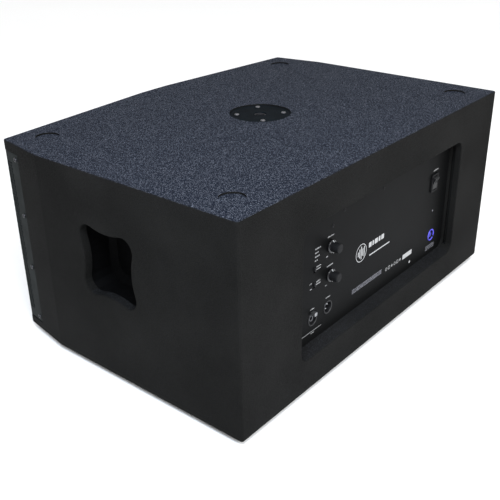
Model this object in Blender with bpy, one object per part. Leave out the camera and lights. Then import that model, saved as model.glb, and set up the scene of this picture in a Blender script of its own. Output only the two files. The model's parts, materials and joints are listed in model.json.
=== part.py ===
"""Active subwoofer: a PA speaker cabinet with two woofers, a bent steel grille and a rear amplifier.

Units are metres. +Z is up, the grille faces -Y, the amplifier panel faces +Y, and +X is the
right-hand side seen from the front. The origin is the middle of the footprint, at the undersides
of the feet.
"""

import math

import bmesh
import bpy
from mathutils import Vector

# ---------------------------------------------------------------- driving dimensions
WIDTH = 0.770
DEPTH = 0.545
BODY_HEIGHT = 0.350
FOOT_HEIGHT = 0.010
GAP = 0.0003                    # clearance kept between pieces that touch

SIDE_WALL = 0.015
REAR_WALL = 0.018
TOP_WALL = 0.0175
BOTTOM_WALL = 0.016
BEND_FROM_REAR = 0.412          # the sides run straight back to front this far, then turn in
CHAMFER_DEPTH = 0.106
CHAMFER_INSET = 0.017
NOSE_HALF_WIDTH = 0.033         # the front is a shallow V that ends in a rounded nose
NOSE_RADIUS = 0.030
FRONT_CORNER_RADIUS = 0.005
BEND_RADIUS = 0.020
CORNER_RADIUS = 0.004
EDGE_ROUND = 0.0022

GRILLE_SHEET = 0.0015
GRILLE_STEP = 0.0004            # how far the sheet's face lies under the boards' edges
GRILLE_START = 0.063            # along the chamfer, from the bend to the sheet's rear edge
GRILLE_LOW = 0.0180             # above the underside of the cabinet
GRILLE_HIGH = 0.3320
FOAM_START = 0.018              # along the front, from the corner to the foam's edge
FOAM_THICK = 0.004
GRILLE_SCREW_HEIGHTS = (0.027, 0.127, 0.224, 0.323)
GRILLE_SCREW_INSET = 0.007
SCREW_HEAD_RADIUS = 0.0040
SCREW_SHANK_RADIUS = 0.0020
SCREW_LENGTH = 0.010
SCREW_SIDES = 10
PILOT_DEPTH = 0.014

HANDLE_CENTRE = (0.264, 0.201)  # from the rear face, and above the underside
HANDLE_HALF = (0.059, 0.060)
HANDLE_LOBE_RADIUS = 0.020
HANDLE_SIDE_SAG = 0.006
HANDLE_EDGE_ROUND = 0.0025
CUP_DEPTH = 0.060
CUP_HALF = 0.074
CUP_WALL = 0.003
CUP_CORNER_RADIUS = 0.025

FOOT_RADIUS = 0.019
FOOT_PLACES = {"rear": (0.327, 0.058), "front": (0.315, 0.470)}   # across, and from the rear face
POCKET_RADIUS = 0.0197
POCKET_DEPTH = 0.0028

POLE_FLANGE_RADIUS = 0.055
POLE_FLANGE_THICK = 0.0025
POLE_FLANGE_SUNK = 0.0020
POLE_BOSS_RADIUS = 0.019
POLE_BOSS_DEPTH = 0.034
POLE_THREAD_RADIUS = 0.010
POLE_SCREW_CIRCLE = 0.042
POLE_SCREW_HEAD_RADIUS = 0.0042

RECESS_MIDDLE = -0.008          # the recess lies a little to the left of the cabinet's middle
RECESS_HALF_WIDTH = 0.2495
RECESS_LOW = 0.057
RECESS_HIGH = 0.2835
RECESS_RADIUS = 0.0175
RECESS_DEPTH = 0.0225           # from the rear face to the amplifier panel
RECESS_FLOOR_RISE = 0.006       # its floor rises this much on the way to the panel
RECESS_FLARE = 0.0015           # the rounding of its rim
RECESS_SLOT_START = 0.0115      # the side slots of the recess begin this deep
RECESS_SLOT_WIDTH = 0.006
RECESS_SLOT_END = 0.011         # from the recess's floor or ceiling to a slot's end
PLATE_THICK = 0.003
PLATE_CLEARANCE = 0.0010
LEDGE_WIDTH = 0.014
LEDGE_THICK = 0.012
AMP_RIM = 0.020                 # how far the amplifier's ledge and chamber reach past the recess
CHAMBER_WALL = 0.010
CHAMBER_DEPTH = 0.098

WOOFER_ACROSS = 0.192           # from the middle to each woofer's axis
WOOFER_FLANGE_RADIUS = 0.1540
WOOFER_HOLE_RADIUS = 0.1410
BAFFLE_FRONT_FROM_REAR = 0.495
BAFFLE_THICK = 0.018
BRACE_THICK = 0.018
BRACE_RIM = 0.035
PORT_RADIUS = 0.028
PORT_WALL = 0.003
PORT_LENGTH = 0.120
PORT_SPREAD = 0.085             # each port's axis above or below the woofers' axes

# ---------------------------------------------------------------- places worked out from them
REAR_Y = DEPTH / 2
FRONT_Y = -DEPTH / 2
HALF_WIDTH = WIDTH / 2
BASE_Z = FOOT_HEIGHT
TOP_Z = BASE_Z + BODY_HEIGHT
INNER_LOW = BASE_Z + BOTTOM_WALL
INNER_HIGH = TOP_Z - TOP_WALL
MIDDLE_Z = (INNER_LOW + INNER_HIGH) / 2
BEND = Vector((HALF_WIDTH, REAR_Y - BEND_FROM_REAR))
FRONT_CORNER = Vector((HALF_WIDTH - CHAMFER_INSET, REAR_Y - BEND_FROM_REAR - CHAMFER_DEPTH))
NOSE = Vector((NOSE_HALF_WIDTH, FRONT_Y))
CHAMFER_LENGTH = (FRONT_CORNER - BEND).length
CHAMFER_ALONG = (FRONT_CORNER - BEND).normalized()
CHAMFER_OUT = Vector((-CHAMFER_ALONG.y, CHAMFER_ALONG.x))
PLATE_FACE_Y = REAR_Y - RECESS_DEPTH
PLATE_BACK_Y = PLATE_FACE_Y - PLATE_THICK
BAFFLE_FRONT_Y = REAR_Y - BAFFLE_FRONT_FROM_REAR
BAFFLE_BACK_Y = BAFFLE_FRONT_Y + BAFFLE_THICK
CHAMBER_BACK_Y = PLATE_BACK_Y - CHAMBER_DEPTH

# Controls and sockets on the amplifier panel: across, and above the underside of the cabinet.
LEVEL_KNOB = (0.1375, 0.2145)
CROSSOVER_KNOB = (0.1375, 0.1635)
UPPER_SWITCH = (0.1810, 0.1894)
LOWER_SWITCH = (0.1810, 0.1630)
SIGNAL_INPUT = (0.1835, 0.1035)
INPUT_LATCH = (SIGNAL_INPUT[0], SIGNAL_INPUT[1] + 0.0110)
SIGNAL_OUTPUT = (0.1410, 0.1060)
MAINS_INLET = (-0.2090, 0.1035)
POWER_ROCKER = (-0.2010, 0.2140)
SHAFT_HOLE_RADIUS = 0.0036
KNOB_SHAFT_RADIUS = 0.0030
KNOB_SKIRT_RADIUS = 0.0110
KNOB_GRIP_RADIUS = 0.0080
KNOB_PROUD = 0.0180
SWITCH_SLOT_HALF = (0.0022, 0.0050)
SLIDER_HALF = (0.0018, 0.0030)
LATCH_HALF = (0.0034, 0.0029)
LATCH_PROUD = 0.0070
SOCKET_BODY_RADIUS = 0.0118
SOCKET_BODY_DEPTH = 0.024
SOCKET_PROUD = 0.0010
SOCKET_FLANGE_HALF = (0.013, 0.0155)
SOCKET_FLANGE_THICK = 0.0022
SOCKET_BORE_RADIUS = 0.0098
SOCKET_BORE_DEPTH = 0.016
INLET_CORE_RADIUS = 0.0050
CONTACT_RADIUS = 0.0012
CONTACT_CIRCLE = 0.0045
CONTACT_LENGTH = 0.015

# The mains rocker, with distances from its pivot.
ROCKER_PIVOT_DEPTH = 0.003      # behind the panel's face
ROCKER_REACH = 0.0135           # to the key's two noses
ROCKER_VALLEY = 0.0062          # to the low line between them
ROCKER_NOSE_ANGLE = math.radians(40.3)      # of the upper nose at rest, from level
ROCKER_THROW = math.radians(24.0)           # from one stop to the other
ROCKER_KEY_HALF_WIDTH = 0.0076
BEZEL_HALF = (0.0120, 0.0172)
BEZEL_PROUD = 0.0025
BARREL_HALF = (0.0097, 0.0150)
BARREL_DEPTH = 0.014
HOLLOW_HALF = (0.0080, 0.0138)
HOLLOW_DEPTH = 0.012

COLOURS = {
    "cabinet_paint": ((0.020, 0.021, 0.023), 0.55, 0.0),
    "inner_wood": ((0.46, 0.33, 0.20), 0.70, 0.0),
    "grille_steel": ((0.035, 0.036, 0.038), 0.45, 0.6),
    "grille_foam": ((0.012, 0.012, 0.013), 0.95, 0.0),
    "black_plastic": ((0.014, 0.014, 0.015), 0.45, 0.0),
    "black_screw": ((0.05, 0.05, 0.055), 0.35, 0.8),
    "bright_screw": ((0.62, 0.62, 0.64), 0.30, 1.0),
    "flange_steel": ((0.022, 0.022, 0.024), 0.40, 0.7),
    "rubber": ((0.018, 0.018, 0.018), 0.80, 0.0),
    "panel_paint": ((0.022, 0.023, 0.024), 0.50, 0.3),
    "aluminium": ((0.55, 0.56, 0.57), 0.40, 1.0),
    "circuit_board": ((0.02, 0.16, 0.07), 0.50, 0.0),
    "copper": ((0.62, 0.30, 0.14), 0.40, 1.0),
    "cone_paper": ((0.03, 0.03, 0.03), 0.85, 0.0),
    "inlet_blue": ((0.25, 0.26, 0.85), 0.35, 0.0),
    "latch_metal": ((0.80, 0.80, 0.80), 0.25, 1.0),
    "driver_steel": ((0.09, 0.09, 0.10), 0.40, 0.7),
}


# ---------------------------------------------------------------- making solids
def material(name):
    """The Principled material of that name, made once."""
    found = bpy.data.materials.get(name)
    if found:
        return found
    colour, roughness, metallic = COLOURS[name]
    made = bpy.data.materials.new(name)
    made.use_nodes = True
    shader = made.node_tree.nodes["Principled BSDF"]
    shader.inputs["Base Color"].default_value = (*colour, 1.0)
    shader.inputs["Roughness"].default_value = roughness
    shader.inputs["Metallic"].default_value = metallic
    return made


def mesh_object(name, mesh_data, finish, smooth=False):
    """Turn a bmesh into a named object with its faces pointing out."""
    bmesh.ops.recalc_face_normals(mesh_data, faces=mesh_data.faces)
    mesh = bpy.data.meshes.new(name)
    mesh_data.to_mesh(mesh)
    mesh_data.free()
    if smooth:
        mesh.shade_smooth()
        mesh.set_sharp_from_angle(angle=math.radians(35))
    made = bpy.data.objects.new(name, mesh)
    bpy.context.scene.collection.objects.link(made)
    if finish:
        mesh.materials.append(material(finish))
    return made


def loft(sections):
    """Join closed rings of points that match one to one, and cap both ends."""
    shape = bmesh.new()
    rings = [[shape.verts.new(point) for point in section] for section in sections]
    for lower, upper in zip(rings, rings[1:]):
        count = len(lower)
        for i in range(count):
            j = (i + 1) % count
            shape.faces.new((lower[i], lower[j], upper[j], upper[i]))
    shape.faces.new(rings[0])
    shape.faces.new(rings[-1])
    return shape


def along(axis, outline, distance):
    """Put a flat outline at a distance along a world axis, keeping the other two axes' order."""
    if axis == "X":
        return [(distance, a, b) for a, b in outline]
    if axis == "Y":
        return [(a, distance, b) for a, b in outline]
    return [(a, b, distance) for a, b in outline]


def prism(name, outline, axis, low, high, finish, smooth=False):
    """Extrude an outline along an axis, from low to high."""
    return mesh_object(name, loft([along(axis, outline, low), along(axis, outline, high)]), finish, smooth)


def turned(name, profile, centre, axis, finish, segments=24):
    """Turn a closed profile of (radius, distance along the axis) points round an axis."""
    shape = bmesh.new()
    rings = []
    for radius, distance in profile:
        if radius == 0:
            rings.append([shape.verts.new((0, 0, distance))])
            continue
        angles = [2 * math.pi * i / segments for i in range(segments)]
        rings.append([shape.verts.new((radius * math.cos(a), radius * math.sin(a), distance)) for a in angles])
    pairs = list(zip(rings, rings[1:]))
    if profile[0][0] > 0 or profile[-1][0] > 0:
        pairs.append((rings[-1], rings[0]))
    for first, second in pairs:
        for i in range(segments):
            j = (i + 1) % segments
            corners = [first[i % len(first)], first[j % len(first)],
                       second[j % len(second)], second[i % len(second)]]
            unique = [c for k, c in enumerate(corners) if c not in corners[:k]]
            if len(unique) > 2:
                shape.faces.new(unique)
    turn = Vector((0, 0, 1)).rotation_difference(Vector(axis)).to_matrix().to_4x4()
    bmesh.ops.transform(shape, matrix=turn, verts=shape.verts)
    made = mesh_object(name, shape, finish, smooth=True)
    made.location = centre
    return made


def cutter(made):
    """Mark an object as a cutting tool, which is no part of the speaker."""
    made.hide_render = True
    made.display_type = "WIRE"
    return made


def round_cutter(name, radius, centre, axis, depth_in, depth_out=0.002, segments=24):
    """A cylinder from depth_out above the face to depth_in below it."""
    profile = [(0, -depth_in), (radius, -depth_in), (radius, depth_out), (0, depth_out)]
    return cutter(turned(name, profile, centre, axis, None, segments))


def cut(target, tool):
    """Subtract a tool from an object."""
    modifier = target.modifiers.new("cut_" + tool.name, "BOOLEAN")
    modifier.operation = "DIFFERENCE"
    modifier.object = tool


def join(target, tool):
    """Add a tool's volume to an object."""
    modifier = target.modifiers.new("join_" + tool.name, "BOOLEAN")
    modifier.operation = "UNION"
    modifier.object = cutter(tool)


def arc(centre, radius, start, end, steps):
    """Points of an arc between two angles, both ends included."""
    angles = [start + (end - start) * i / steps for i in range(steps + 1)]
    return [(centre[0] + radius * math.cos(a), centre[1] + radius * math.sin(a)) for a in angles]


def fillet(before, corner, after, radius, steps):
    """The arc that rounds a corner of an outline."""
    corner = Vector(corner)
    to_before = (Vector(before) - corner).normalized()
    to_after = (Vector(after) - corner).normalized()
    half = to_before.angle(to_after) / 2
    centre = corner + (to_before + to_after).normalized() * radius / math.sin(half)
    start = corner + to_before * radius / math.tan(half) - centre
    end = corner + to_after * radius / math.tan(half) - centre
    first = math.atan2(start.y, start.x)
    sweep = math.atan2(start.x * end.y - start.y * end.x, start.dot(end))
    return arc(centre, radius, first, first + sweep, steps)


def rounded(points, radii, steps=3):
    """An outline whose corners are rounded where their radius is not zero."""
    outline = []
    for i, (corner, radius) in enumerate(zip(points, radii)):
        if radius == 0:
            outline.append(tuple(corner))
        else:
            outline.extend(fillet(points[i - 1], corner, points[(i + 1) % len(points)], radius, steps))
    return outline


def rectangle(low_a, low_b, high_a, high_b, radius=0.0, steps=3):
    """A rectangle, with rounded corners where a radius is given."""
    points = [(low_a, low_b), (high_a, low_b), (high_a, high_b), (low_a, high_b)]
    return rounded(points, [radius] * 4, steps)


def round_outer_edges(made, width, height, steps=2):
    """Round the edges that lie at one height of a board."""
    shape = bmesh.new()
    shape.from_mesh(made.data)
    edges = [e for e in shape.edges if all(abs(v.co.z - height) < 1e-6 for v in e.verts)]
    bmesh.ops.bevel(shape, geom=edges, offset=width, segments=steps, profile=0.5, affect="EDGES")
    shape.to_mesh(made.data)
    shape.free()


def mirrored(points):
    """An outline's mirror image across the middle plane, in the order that keeps its direction."""
    return [(-x, y) for x, y in reversed(points)]


# ---------------------------------------------------------------- the cabinet's boards
def plan_outline():
    """The boards' shape seen from above: straight sides, turned-in cheeks and a shallow V front."""
    rear = Vector((HALF_WIDTH, REAR_Y))
    right = [NOSE, FRONT_CORNER, BEND, rear]
    left = [Vector((-p.x, p.y)) for p in reversed(right)]
    radii = [NOSE_RADIUS, FRONT_CORNER_RADIUS, BEND_RADIUS, CORNER_RADIUS]
    return rounded(right + left, radii + radii[::-1], steps=3)


def foot_places():
    """Name and place of each foot, and of the pocket above it that takes a stacked cabinet's foot."""
    for end, (across, from_rear) in FOOT_PLACES.items():
        for side, sign in (("right", 1), ("left", -1)):
            yield f"{end}_{side}", sign * across, REAR_Y - from_rear


def make_top_board():
    board = prism("top_board", plan_outline(), "Z", INNER_HIGH + GAP, TOP_Z, "cabinet_paint")
    round_outer_edges(board, EDGE_ROUND, TOP_Z)
    for name, x, y in foot_places():
        cut(board, round_cutter(f"pocket_{name}", POCKET_RADIUS, (x, y, TOP_Z), (0, 0, 1), POCKET_DEPTH))
    seat = (0, 0, TOP_Z)
    sunk = POLE_FLANGE_SUNK + POLE_FLANGE_THICK + GAP
    cut(board, round_cutter("flange_seat", POLE_FLANGE_RADIUS + GAP, seat, (0, 0, 1), sunk, segments=32))
    cut(board, round_cutter("boss_hole", POLE_BOSS_RADIUS + GAP, seat, (0, 0, 1), TOP_WALL + GAP))
    for i, (x, y) in enumerate(pole_screw_places()):
        place = (x, y, TOP_Z)
        pilot = round_cutter(f"pole_pilot_{i}", SCREW_SHANK_RADIUS + GAP, place, (0, 0, 1), PILOT_DEPTH, segments=8)
        cut(board, pilot)


def make_bottom_board():
    board = prism("bottom_board", plan_outline(), "Z", BASE_Z, INNER_LOW - GAP, "cabinet_paint")
    round_outer_edges(board, EDGE_ROUND, BASE_Z)


def on_chamfer(distance, below=0.0):
    """A point on the right cheek: a distance from the bend, and below its surface."""
    point = BEND + CHAMFER_ALONG * distance - CHAMFER_OUT * below
    return (point.x, point.y)


def side_outline():
    """The right side board seen from above, with the step that the grille's wing lies in."""
    step = GRILLE_STEP + GRILLE_SHEET + GAP
    end = CHAMFER_LENGTH - 0.004
    outer = [(HALF_WIDTH, REAR_Y), tuple(BEND), on_chamfer(GRILLE_START - GAP),
             on_chamfer(GRILLE_START - GAP, step), on_chamfer(end, step)]
    inner = [on_chamfer(end, SIDE_WALL), (HALF_WIDTH - SIDE_WALL, BEND.y), (HALF_WIDTH - SIDE_WALL, REAR_Y)]
    points = outer + inner
    radii = [CORNER_RADIUS, BEND_RADIUS] + [0] * (len(points) - 2)
    return rounded(points, radii)


def lobed_outline(grow=0.0):
    """The hand hole: four round lobes joined by sides that bow inwards, grown by an offset."""
    centre_y = REAR_Y - HANDLE_CENTRE[0]
    centre_z = BASE_Z + HANDLE_CENTRE[1]
    reach = [half - HANDLE_LOBE_RADIUS for half in HANDLE_HALF]
    points = []
    for quarter in range(4):
        across, up = reach if quarter % 2 == 0 else reversed(reach)
        # Distance from a lobe's centre to the centre of the bowed side's arc, along the side's normal.
        rise_up = (across ** 2 - HANDLE_SIDE_SAG ** 2) / (2 * HANDLE_SIDE_SAG)
        rise_across = (up ** 2 - HANDLE_SIDE_SAG ** 2) / (2 * HANDLE_SIDE_SAG)
        lobe_start = -math.atan2(up, rise_across)
        lobe_end = math.pi / 2 + math.atan2(across, rise_up)
        turn = quarter * math.pi / 2
        lobe = arc((across, up), HANDLE_LOBE_RADIUS + grow, lobe_start, lobe_end, 6)
        bow_radius = rise_up - HANDLE_LOBE_RADIUS + HANDLE_SIDE_SAG - grow
        bow_half = math.atan2(across, rise_up)
        bow = arc((0, up + rise_up), bow_radius, -math.pi / 2 + bow_half, -math.pi / 2 - bow_half, 6)[1:-1]
        for a, b in lobe + bow:
            points.append((centre_y + a * math.cos(turn) - b * math.sin(turn),
                           centre_z + a * math.sin(turn) + b * math.cos(turn)))
    return points


def hand_hole_cutter(side, sign):
    """The hand hole's tool, flared at the outer face so that the hole's edge is rounded."""
    steps = 3
    rings = [(HALF_WIDTH - SIDE_WALL - 0.002, 0.0)]
    for i in range(steps + 1):
        angle = math.pi / 2 * i / steps
        depth = HANDLE_EDGE_ROUND * (1 - math.sin(angle))
        rings.append((HALF_WIDTH - depth, HANDLE_EDGE_ROUND * (1 - math.cos(angle))))
    rings.append((HALF_WIDTH + 0.002, HANDLE_EDGE_ROUND))
    sections = [along("X", lobed_outline(grow), sign * x) for x, grow in rings]
    return cutter(mesh_object(f"hand_hole_{side}", loft(sections), None))


def make_side_boards():
    for side, sign in (("right", 1), ("left", -1)):
        outline = side_outline() if sign > 0 else mirrored(side_outline())
        board = prism(f"side_board_{side}", outline, "Z", INNER_LOW, INNER_HIGH, "cabinet_paint")
        cut(board, hand_hole_cutter(side, sign))
        for i, (place, outward) in enumerate(grille_screw_places(sign)):
            hole = f"pilot_{side}_{i}"
            cut(board, round_cutter(hole, SCREW_SHANK_RADIUS + GAP, place, outward, PILOT_DEPTH, segments=8))


def recess_outline(depth, grow=0.0):
    """The amplifier recess at a depth behind the rear face: its floor rises towards the panel."""
    low = BASE_Z + RECESS_LOW + RECESS_FLOOR_RISE * depth / RECESS_DEPTH
    return rectangle(RECESS_MIDDLE - RECESS_HALF_WIDTH - grow, low - grow,
                     RECESS_MIDDLE + RECESS_HALF_WIDTH + grow, BASE_Z + RECESS_HIGH + grow,
                     RECESS_RADIUS + grow, steps=5)


def recess_tool(name, levels):
    """A cutting tool along the recess, from a list of its depth and growth at each level."""
    sections = [along("Y", recess_outline(depth, grow), REAR_Y - depth) for depth, grow in levels]
    return cutter(mesh_object(name, loft(sections), None))


def around_recess(rim):
    """A rectangle that reaches past the recess on all sides."""
    return rectangle(RECESS_MIDDLE - RECESS_HALF_WIDTH - rim, BASE_Z + RECESS_LOW - rim,
                     RECESS_MIDDLE + RECESS_HALF_WIDTH + rim, BASE_Z + RECESS_HIGH + rim)


def make_rear_board():
    inner = HALF_WIDTH - SIDE_WALL - GAP
    outline = rectangle(-inner, INNER_LOW, inner, INNER_HIGH)
    board = prism("rear_board", outline, "Y", REAR_Y - REAR_WALL, REAR_Y, "cabinet_paint")
    # The rim is rounded in two short steps.
    levels = [(REAR_WALL + 0.002, 0.0), (RECESS_FLARE, 0.0), (RECESS_FLARE * 0.29, RECESS_FLARE * 0.29),
              (0.0, RECESS_FLARE), (-0.002, RECESS_FLARE)]
    cut(board, recess_tool("recess_hole", levels))
    low = BASE_Z + RECESS_LOW + RECESS_SLOT_END
    high = BASE_Z + RECESS_HIGH - RECESS_SLOT_END
    for side, sign in (("right", 1), ("left", -1)):
        wall = RECESS_MIDDLE + sign * RECESS_HALF_WIDTH
        ends = sorted((wall - sign * 0.003, wall + sign * RECESS_SLOT_WIDTH))
        slot = rectangle(ends[0], low, ends[1], high)
        cut(board, cutter(prism(f"recess_slot_{side}", slot, "Y", REAR_Y - REAR_WALL - 0.002,
                                REAR_Y - RECESS_SLOT_START, None)))


def make_amp_frame():
    """The ledge behind the rear board that the amplifier panel is screwed to."""
    front = REAR_Y - REAR_WALL - GAP
    back = PLATE_BACK_Y - GAP - LEDGE_THICK
    frame = prism("amp_ledge_frame", around_recess(AMP_RIM), "Y", back, front, "cabinet_paint")
    cut(frame, recess_tool("plate_seat", [(REAR_Y - PLATE_BACK_Y + GAP, 0.0), (REAR_WALL - 0.002, 0.0)]))
    window = recess_outline(RECESS_DEPTH, -LEDGE_WIDTH)
    cut(frame, cutter(prism("amp_window", window, "Y", back - 0.002, front, None)))
    return back


def make_amp_chamber(front):
    """The sealed wooden box that keeps the amplifier apart from the woofers' air."""
    box = prism("amp_chamber", around_recess(AMP_RIM), "Y", CHAMBER_BACK_Y, front - GAP, "inner_wood")
    hollow = around_recess(AMP_RIM - CHAMBER_WALL)
    room = prism("amp_chamber_hollow", hollow, "Y", CHAMBER_BACK_Y + CHAMBER_WALL, front + 0.002, None)
    cut(box, cutter(room))


def make_baffle():
    # The cheeks' inner faces are nearest to each other at the baffle's front.
    drawn_in = CHAMFER_INSET * (BEND.y - BAFFLE_FRONT_Y) / CHAMFER_DEPTH
    inner = HALF_WIDTH - drawn_in - SIDE_WALL / CHAMFER_OUT.x - GAP
    outline = rectangle(-inner, INNER_LOW, inner, INNER_HIGH)
    board = prism("front_baffle", outline, "Y", BAFFLE_FRONT_Y, BAFFLE_BACK_Y, "cabinet_paint")
    for name, x, z, radius in baffle_holes():
        place = (x, BAFFLE_FRONT_Y, z)
        cut(board, round_cutter(f"hole_{name}", radius, place, (0, -1, 0), BAFFLE_THICK + 0.002, segments=32))


def baffle_holes():
    """Name, place and radius of each hole through the baffle."""
    for side, sign in (("right", 1), ("left", -1)):
        yield f"woofer_{side}", sign * WOOFER_ACROSS, MIDDLE_Z, WOOFER_HOLE_RADIUS
    for level, sign in (("upper", 1), ("lower", -1)):
        yield f"port_{level}", 0, MIDDLE_Z + sign * PORT_SPREAD, PORT_RADIUS + PORT_WALL + GAP


def make_ports():
    outer = PORT_RADIUS + PORT_WALL
    profile = [(PORT_RADIUS, 0), (outer, 0), (outer, -PORT_LENGTH), (PORT_RADIUS, -PORT_LENGTH)]
    for level, sign in (("upper", 1), ("lower", -1)):
        mouth = (0, BAFFLE_FRONT_Y, MIDDLE_Z + sign * PORT_SPREAD)
        turned(f"port_tube_{level}", profile, mouth, (0, -1, 0), "black_plastic")


def make_brace():
    """An upright board across the cabinet's middle, with a window that lets the air through."""
    front, back = BAFFLE_FRONT_Y + PORT_LENGTH + 0.013, CHAMBER_BACK_Y - GAP
    high = INNER_HIGH - 0.020
    half = BRACE_THICK / 2
    board = prism("window_brace", rectangle(front, INNER_LOW, back, high), "X", -half, half, "inner_wood")
    window = rectangle(front + BRACE_RIM, INNER_LOW + BRACE_RIM, back - BRACE_RIM, high - BRACE_RIM, 0.020)
    cut(board, cutter(prism("brace_window", window, "X", -half - 0.003, half + 0.003, None)))


def cup_section(side_sign, x, grow):
    """The handle cup's outline, which is square with round corners, at a distance across."""
    centre_y, centre_z = REAR_Y - HANDLE_CENTRE[0], BASE_Z + HANDLE_CENTRE[1]
    half = CUP_HALF + grow
    outline = rectangle(centre_y - half, centre_z - half, centre_y + half, centre_z + half, CUP_CORNER_RADIUS)
    return along("X", outline, side_sign * x)


def make_handle_cups():
    """The moulded cups that close the hand holes inside."""
    mouth = HALF_WIDTH - SIDE_WALL - GAP
    bottom = mouth - CUP_DEPTH
    outer = [(bottom, -0.012), (bottom + 0.008, 0.0), (mouth, 0.0)]
    inner = [(bottom + CUP_WALL, -0.012 - CUP_WALL), (bottom + 0.010, -CUP_WALL), (mouth + 0.002, -CUP_WALL)]
    for side, sign in (("right", 1), ("left", -1)):
        shell, hollow = [loft([cup_section(sign, x, grow) for x, grow in levels]) for levels in (outer, inner)]
        cup = mesh_object(f"handle_cup_{side}", shell, "black_plastic", smooth=True)
        cut(cup, cutter(mesh_object(f"handle_hollow_{side}", hollow, None)))


# ---------------------------------------------------------------- grille
def grille_screw_places(sign):
    """Place and outward direction of each screw along one wing of the grille."""
    for height in GRILLE_SCREW_HEIGHTS:
        x, y = on_chamfer(GRILLE_START + GRILLE_SCREW_INSET, GRILLE_STEP)
        yield (sign * x, y, BASE_Z + height), (sign * CHAMFER_OUT.x, CHAMFER_OUT.y, 0)


def inset_path(points, depth):
    """An open path moved to its right-hand side, with its corners kept sharp."""
    steps = [(b - a).normalized() for a, b in zip(points, points[1:])]
    sides = [Vector((step.y, -step.x)) for step in steps]
    moved = []
    for i, point in enumerate(points):
        before = sides[max(i - 1, 0)]
        after = sides[min(i, len(sides) - 1)]
        middle = (before + after).normalized()
        moved.append(point + middle * depth / middle.dot(after))
    return moved


def sheet_outline(right_path, right_radii, below, thick):
    """A bent sheet seen from above, from its right end round the front to its left end."""
    path = right_path + [Vector((-point.x, point.y)) for point in reversed(right_path)]
    radii = right_radii + right_radii[::-1]
    layers = []
    for depth in (below, below + thick):
        bends = [radius - depth if radius else 0 for radius in radii]
        layers.append(rounded(inset_path(path, depth), bends))
    return layers[0] + layers[1][::-1]


def make_grille():
    path = [Vector(on_chamfer(GRILLE_START)), FRONT_CORNER, NOSE]
    outline = sheet_outline(path, [0, FRONT_CORNER_RADIUS, NOSE_RADIUS], GRILLE_STEP, GRILLE_SHEET)
    sheet = prism("grille", outline, "Z", BASE_Z + GRILLE_LOW, BASE_Z + GRILLE_HIGH, "grille_steel", smooth=True)
    for side, sign in (("right", 1), ("left", -1)):
        for i, (place, outward) in enumerate(grille_screw_places(sign)):
            hole = f"grille_hole_{side}_{i}"
            cut(sheet, round_cutter(hole, SCREW_SHANK_RADIUS + GAP, place, outward, 2 * GRILLE_SHEET, segments=8))


def make_grille_foam():
    """Acoustic foam that lies behind the perforated steel."""
    start = FRONT_CORNER + (NOSE - FRONT_CORNER).normalized() * FOAM_START
    outline = sheet_outline([start, NOSE], [0, NOSE_RADIUS], GRILLE_STEP + GRILLE_SHEET + GAP, FOAM_THICK)
    low, high = BASE_Z + GRILLE_LOW + FOAM_THICK, BASE_Z + GRILLE_HIGH - FOAM_THICK
    prism("grille_foam", outline, "Z", low, high, "grille_foam")


def screw_profile(head_radius, shank_radius, shank_length, head_height=0.0020):
    """A screw with a domed head."""
    return [(0, -shank_length), (shank_radius, -shank_length), (shank_radius, GAP), (head_radius, GAP),
            (head_radius * 0.94, head_height * 0.7), (head_radius * 0.62, head_height), (0, head_height)]


def make_grille_screws():
    for side, sign in (("right", 1), ("left", -1)):
        for i, (place, outward) in enumerate(grille_screw_places(sign)):
            profile = screw_profile(SCREW_HEAD_RADIUS, SCREW_SHANK_RADIUS, SCREW_LENGTH)
            turned(f"grille_screw_{side}_{i + 1}", profile, place, outward, "black_screw", segments=SCREW_SIDES)


# ---------------------------------------------------------------- feet and pole mount
def make_feet():
    for name, x, y in foot_places():
        profile = [(0, -GAP), (FOOT_RADIUS, -GAP), (FOOT_RADIUS, -0.004), (FOOT_RADIUS * 0.90, -FOOT_HEIGHT),
                   (0.007, -FOOT_HEIGHT), (0.006, -0.0045), (0, -0.0045)]
        turned(f"foot_{name}", profile, (x, y, BASE_Z), (0, 0, 1), "rubber")


def pole_screw_places():
    for quarter in range(4):
        angle = math.pi / 4 + quarter * math.pi / 2
        yield POLE_SCREW_CIRCLE * math.cos(angle), POLE_SCREW_CIRCLE * math.sin(angle)


def make_pole_flange():
    face = -POLE_FLANGE_SUNK
    under = face - POLE_FLANGE_THICK
    chamfer = 0.0006
    mouth = 0.0015
    profile = [(POLE_THREAD_RADIUS, -POLE_BOSS_DEPTH), (POLE_BOSS_RADIUS, -POLE_BOSS_DEPTH),
               (POLE_BOSS_RADIUS, under), (POLE_FLANGE_RADIUS, under), (POLE_FLANGE_RADIUS, face - chamfer),
               (POLE_FLANGE_RADIUS - chamfer, face), (POLE_THREAD_RADIUS + mouth, face),
               (POLE_THREAD_RADIUS, face - mouth)]
    flange = turned("pole_flange", profile, (0, 0, TOP_Z), (0, 0, 1), "flange_steel", segments=32)
    head = screw_profile(POLE_SCREW_HEAD_RADIUS, SCREW_SHANK_RADIUS, SCREW_LENGTH, POLE_FLANGE_SUNK - GAP)
    for i, (x, y) in enumerate(pole_screw_places()):
        top = (x, y, TOP_Z)
        hole = round_cutter(f"flange_hole_{i}", SCREW_SHANK_RADIUS + GAP, top, (0, 0, 1), 0.006, segments=8)
        cut(flange, hole)
        seat = (x, y, TOP_Z + face)
        turned(f"pole_screw_{i + 1}", head, seat, (0, 0, 1), "bright_screw", segments=SCREW_SIDES)


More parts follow.
